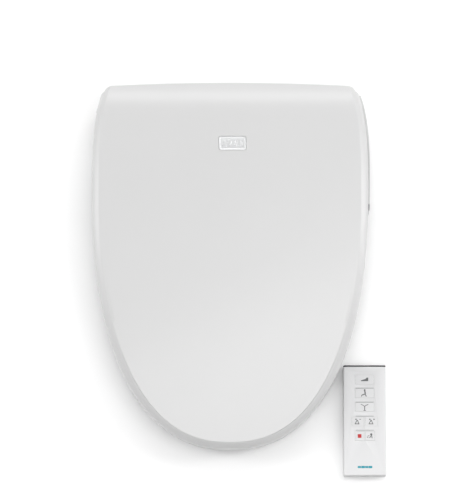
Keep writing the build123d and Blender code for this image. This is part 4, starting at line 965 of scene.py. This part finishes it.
def icon_outlines(kind, x, y):
    """Closed outlines of a plain pictogram about a point, in metres."""

    def dot(cx, cy, radius, count=16):
        return [(x + (cx + radius * math.cos(2 * math.pi * k / count)) * MM,
                 y + (cy + radius * math.sin(2 * math.pi * k / count)) * MM) for k in range(count)]

    def stroke(ax, ay, bx, by, width):
        along = Vector((bx - ax, by - ay)).normalized()
        side = Vector((-along.y, along.x)) * width / 2
        return [(x + px * MM, y + py * MM) for px, py in (
            (ax + side.x, ay + side.y), (ax - side.x, ay - side.y),
            (bx - side.x, by - side.y), (bx + side.x, by + side.y))]

    if kind == "breeze":
        steps = [(x + (-5.2 + k * 1.3) * MM, y - 2.3 * MM) for k in range(9)]
        crest = [(x + px * MM, y + py * MM) for px, py in (
            (5.4, -2.2), (5.4, 3.0), (3.2, 3.0), (1.6, 1.0), (-1.2, 0.2), (-5.2, -1.2))]
        return [steps + crest]
    if kind == "seated":
        return [dot(0.2, 4.6, 1.3), stroke(0.3, 3.4, 1.1, -1.0, 1.9), stroke(1.0, -1.0, -3.6, -2.4, 1.5),
                stroke(-3.6, -2.2, -4.6, -4.6, 1.2), stroke(1.0, -1.4, 2.6, -4.6, 1.3)]
    if kind == "spray":
        return [stroke(0, -4.6, 0, 1.6, 1.2), stroke(-0.4, 1.4, -3.4, 3.2, 0.9),
                stroke(0.4, 1.4, 3.4, 3.2, 0.9), stroke(-5.4, 3.9, -3.4, 3.3, 0.9),
                stroke(3.4, 3.3, 5.4, 3.9, 0.9), stroke(-1.8, -4.9, 1.8, -4.9, 0.8)]
    if kind in ("less", "more"):
        shapes = [stroke(-4.4, -3.4, 2.4, -3.4, 1.1), stroke(-3.6, -3.0, -0.9, 2.2, 1.1),
                  stroke(-0.6, 2.4, 1.4, -2.8, 1.1), dot(-2.6, 3.2, 1.1), stroke(2.2, 3.2, 4.6, 3.2, 0.9)]
        if kind == "more":
            shapes.append(stroke(3.4, 1.9, 3.4, 2.7, 0.9))
            shapes.append(stroke(3.4, 3.7, 3.4, 4.5, 0.9))
        return shapes
    if kind == "stop":
        return [rounded_outline(x, y, 5.4, 5.4, 0.4)]
    return [dot(1.8, 2.4, 1.6), stroke(1.6, 0.8, -0.6, -3.0, 1.2), stroke(2.4, 0.8, 3.0, -3.2, 1.2),
            stroke(-3.8, -0.4, -0.9, 0.6, 0.9), stroke(-4.6, -1.8, -2.2, -2.4, 0.8)]


def rounded_outline(x, y, width, height, radius):
    """Rounded rectangle in millimetres about a point in metres."""
    return [(x + px, y + py) for px, py in rounded_rectangle(width * MM, height * MM, radius * MM, 4)]


class BIDET_OT_remote(bpy.types.Operator):
    """Rounds the remote's shells, battery cover and window, and prints its plain marks."""

    bl_idname = "bidet.remote"
    bl_label = "Remote"

    def execute(self, context):
        white = PALETTE["remote_white"]
        stand_in("remote_front_shell", 0.08 * MM, white, "remote", 1)
        stand_in("remote_back_shell", 0.35 * MM, white, "remote", 2)
        stand_in("battery_cover", 0.3 * MM, white, "battery_cover", 2)
        stand_in("remote_window", 0.5 * MM, PALETTE["window_dark"], "remote", 2)
        icons = {"dry_key": "breeze", "rear_wash_key": "seated", "front_wash_key": "spray",
                 "pressure_down_key": "less", "pressure_up_key": "more", "stop_key": "stop",
                 "mode_key": "figure"}
        for node, kind in icons.items():
            low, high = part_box(node)
            x, y = (low[0] + high[0]) / 2, (low[1] + high[1]) / 2
            ink = PALETTE["print_red"] if kind == "stop" else PALETTE["print_grey"]
            raised_marks(node + "_mark", icon_outlines(kind, x, y), PRINT_THICK, high[2] - PRINT_SINK,
                                  ink, node)
        x = (REMOTE_LOW[0] + REMOTE_HIGH[0]) / 2
        face = REMOTE_HIGH[2] - PRINT_SINK
        top = REMOTE_HIGH[1]
        bars("key_dividers", PALETTE["print_pale"], "remote", 4,
             (x, top - FIRST_DIVIDER, face + 0.02 * MM), (0, -KEY_PITCH, 0), (26 * MM, 1.0 * MM, 0.08 * MM))
        low = top - MARK_DOWN
        mark = [rounded_outline(x + (k - 1.5) * 5.3 * MM, low, 5.1, 2.9 + 0.4 * (k % 2), 0.7)
                for k in range(4)]
        raised_marks("teal_dashes", mark, PRINT_THICK, face, PALETTE["print_teal"], "remote")
        return {"FINISHED"}


# ---------------------------------------------------------------- finishes of the nodes
class BIDET_OT_finishes(bpy.types.Operator):
    """Gives every node of the frame the finish of its material slot."""

    bl_idname = "bidet.finishes"
    bl_label = "Finishes"

    def execute(self, context):
        for entry in frame["record"]["subparts"]:
            node = NODES[entry["node"]]
            is_receiver = entry["node"] == "receiver_window"
            material = PALETTE["window_grey" if is_receiver else entry["material_slot"]]
            if not node.material_slots:
                node.data.materials.append(material)
            for slot in node.material_slots:
                slot.material = material
        return {"FINISHED"}


# ---------------------------------------------------------------- stage
LIGHTS = (   # name, place, target, size and power
    ("rear_key", (0.1, 1.2, 1.35), (0, 0.0, 0.05), (2.2, 0.9), 13),
    ("front_top", (0.1, -0.62, 1.2), (0, -0.45, 0.05), (0.9, 0.4), 4.5),
    ("right_strip", (1.5, -0.15, 0.9), (0, -0.15, 0.05), (0.3, 1.6), 10),
    ("left_strip", (-1.5, -0.15, 0.9), (0, -0.15, 0.05), (0.3, 1.6), 8.5),
)
CAMERA_TARGET = Vector((-0.0043, -0.178, 0.08))
FLOOR_REACH = 6.0
FLOOR_Z = -0.0005


def area_light(name, place, target, size, power):
    """Soft rectangular light aimed at a point."""
    data = bpy.data.lights.new(name, "AREA")
    data.shape = "RECTANGLE"
    data.size, data.size_y = size
    data.energy = power
    light = bpy.data.objects.new(name, data)
    light.location = place
    light.rotation_euler = (Vector(target) - Vector(place)).to_track_quat("-Z", "Y").to_euler()
    bpy.context.scene.collection.objects.link(light)


class BIDET_OT_stage(bpy.types.Operator):
    """Adds the pale floor, soft lights, world and camera."""

    bl_idname = "bidet.stage"
    bl_label = "Stage"

    def execute(self, context):
        sizes = context.scene.stage_sizes
        material, tree, principled = shader("Pale floor")
        drift = object_noise(tree, 3.0, 2.0)
        tree.links.new(tinted(tree, drift.outputs["Fac"], (0.93, 0.93, 0.93), 0.004),
                       principled.inputs["Base Color"])
        principled.inputs["Roughness"].default_value = 0.9
        principled.inputs["Specular IOR Level"].default_value = 0.1
        mesh = bpy.data.meshes.new("floor")
        corners = [(x * FLOOR_REACH, y * FLOOR_REACH, FLOOR_Z)
                   for x, y in ((-1, -1), (1, -1), (1, 1), (-1, 1))]
        mesh.from_pydata(corners, [], [(0, 1, 2, 3)])
        mesh.materials.append(material)
        floor = bpy.data.objects.new("floor", mesh)
        context.scene.collection.objects.link(floor)
        world = bpy.data.worlds.new("Studio")
        world.use_nodes = True
        tree = world.node_tree
        place = tree.nodes.new("ShaderNodeTexCoord")
        split = tree.nodes.new("ShaderNodeSeparateXYZ")
        tree.links.new(place.outputs["Generated"], split.inputs["Vector"])
        glow = ramp(tree, split.outputs["Y"], 0.4, 0.98, -0.9, 1.0)
        backdrop = tree.nodes["Background"]
        backdrop.inputs["Color"].default_value = (1, 1, 1, 1)
        tree.links.new(glow, backdrop.inputs["Strength"])
        context.scene.world = world
        for light in LIGHTS:
            area_light(*light)
        elevation = sizes.elevation
        target = CAMERA_TARGET
        away = Vector((0, -math.cos(elevation), math.sin(elevation)))
        data = bpy.data.cameras.new("camera")
        data.sensor_width = 36.0
        data.lens = data.sensor_width * sizes.distance / sizes.frame_height
        data.clip_end = 50
        camera = bpy.data.objects.new("camera", data)
        camera.location = target + away * sizes.distance
        camera.rotation_euler = (-away).to_track_quat("-Z", "Y").to_euler()
        context.scene.collection.objects.link(camera)
        context.scene.camera = camera
        context.scene.view_settings.view_transform = "Standard"
        return {"FINISHED"}


# ---------------------------------------------------------------- panel and registration
class BIDET_PT_panel(bpy.types.Panel):
    """Lists the pieces of the bidet seat."""

    bl_idname = "BIDET_PT_panel"
    bl_label = "Bidet Seat"
    bl_space_type = "VIEW_3D"
    bl_region_type = "UI"
    bl_category = "Bidet Seat"

    def draw(self, context):
        for operator in OPERATORS:
            self.layout.operator(operator.bl_idname)


OPERATORS = (BIDET_OT_palette, BIDET_OT_lid, BIDET_OT_badge, BIDET_OT_seat, BIDET_OT_housing, BIDET_OT_ribs,
             BIDET_OT_remote, BIDET_OT_finishes, BIDET_OT_stage)
CLASSES = (LidSizes, SeatSizes, StageSizes) + OPERATORS + (BIDET_PT_panel,)


def register():
    for item in CLASSES:
        bpy.utils.register_class(item)
    bpy.types.Scene.lid_sizes = bpy.props.PointerProperty(type=LidSizes)
    bpy.types.Scene.seat_sizes = bpy.props.PointerProperty(type=SeatSizes)
    bpy.types.Scene.stage_sizes = bpy.props.PointerProperty(type=StageSizes)


def unregister():
    for name in ("lid_sizes", "seat_sizes", "stage_sizes"):
        delattr(bpy.types.Scene, name)
    for item in reversed(CLASSES):
        bpy.utils.unregister_class(item)


def main():
    """Builds everything in order."""
    register()
    bpy.ops.bidet.palette()
    bpy.ops.bidet.lid()
    bpy.ops.bidet.badge()
    bpy.ops.bidet.seat()
    bpy.ops.bidet.housing()
    bpy.ops.bidet.ribs()
    bpy.ops.bidet.remote()
    bpy.ops.bidet.finishes()
    bpy.ops.bidet.stage()


if __name__ == "__main__":
    main()
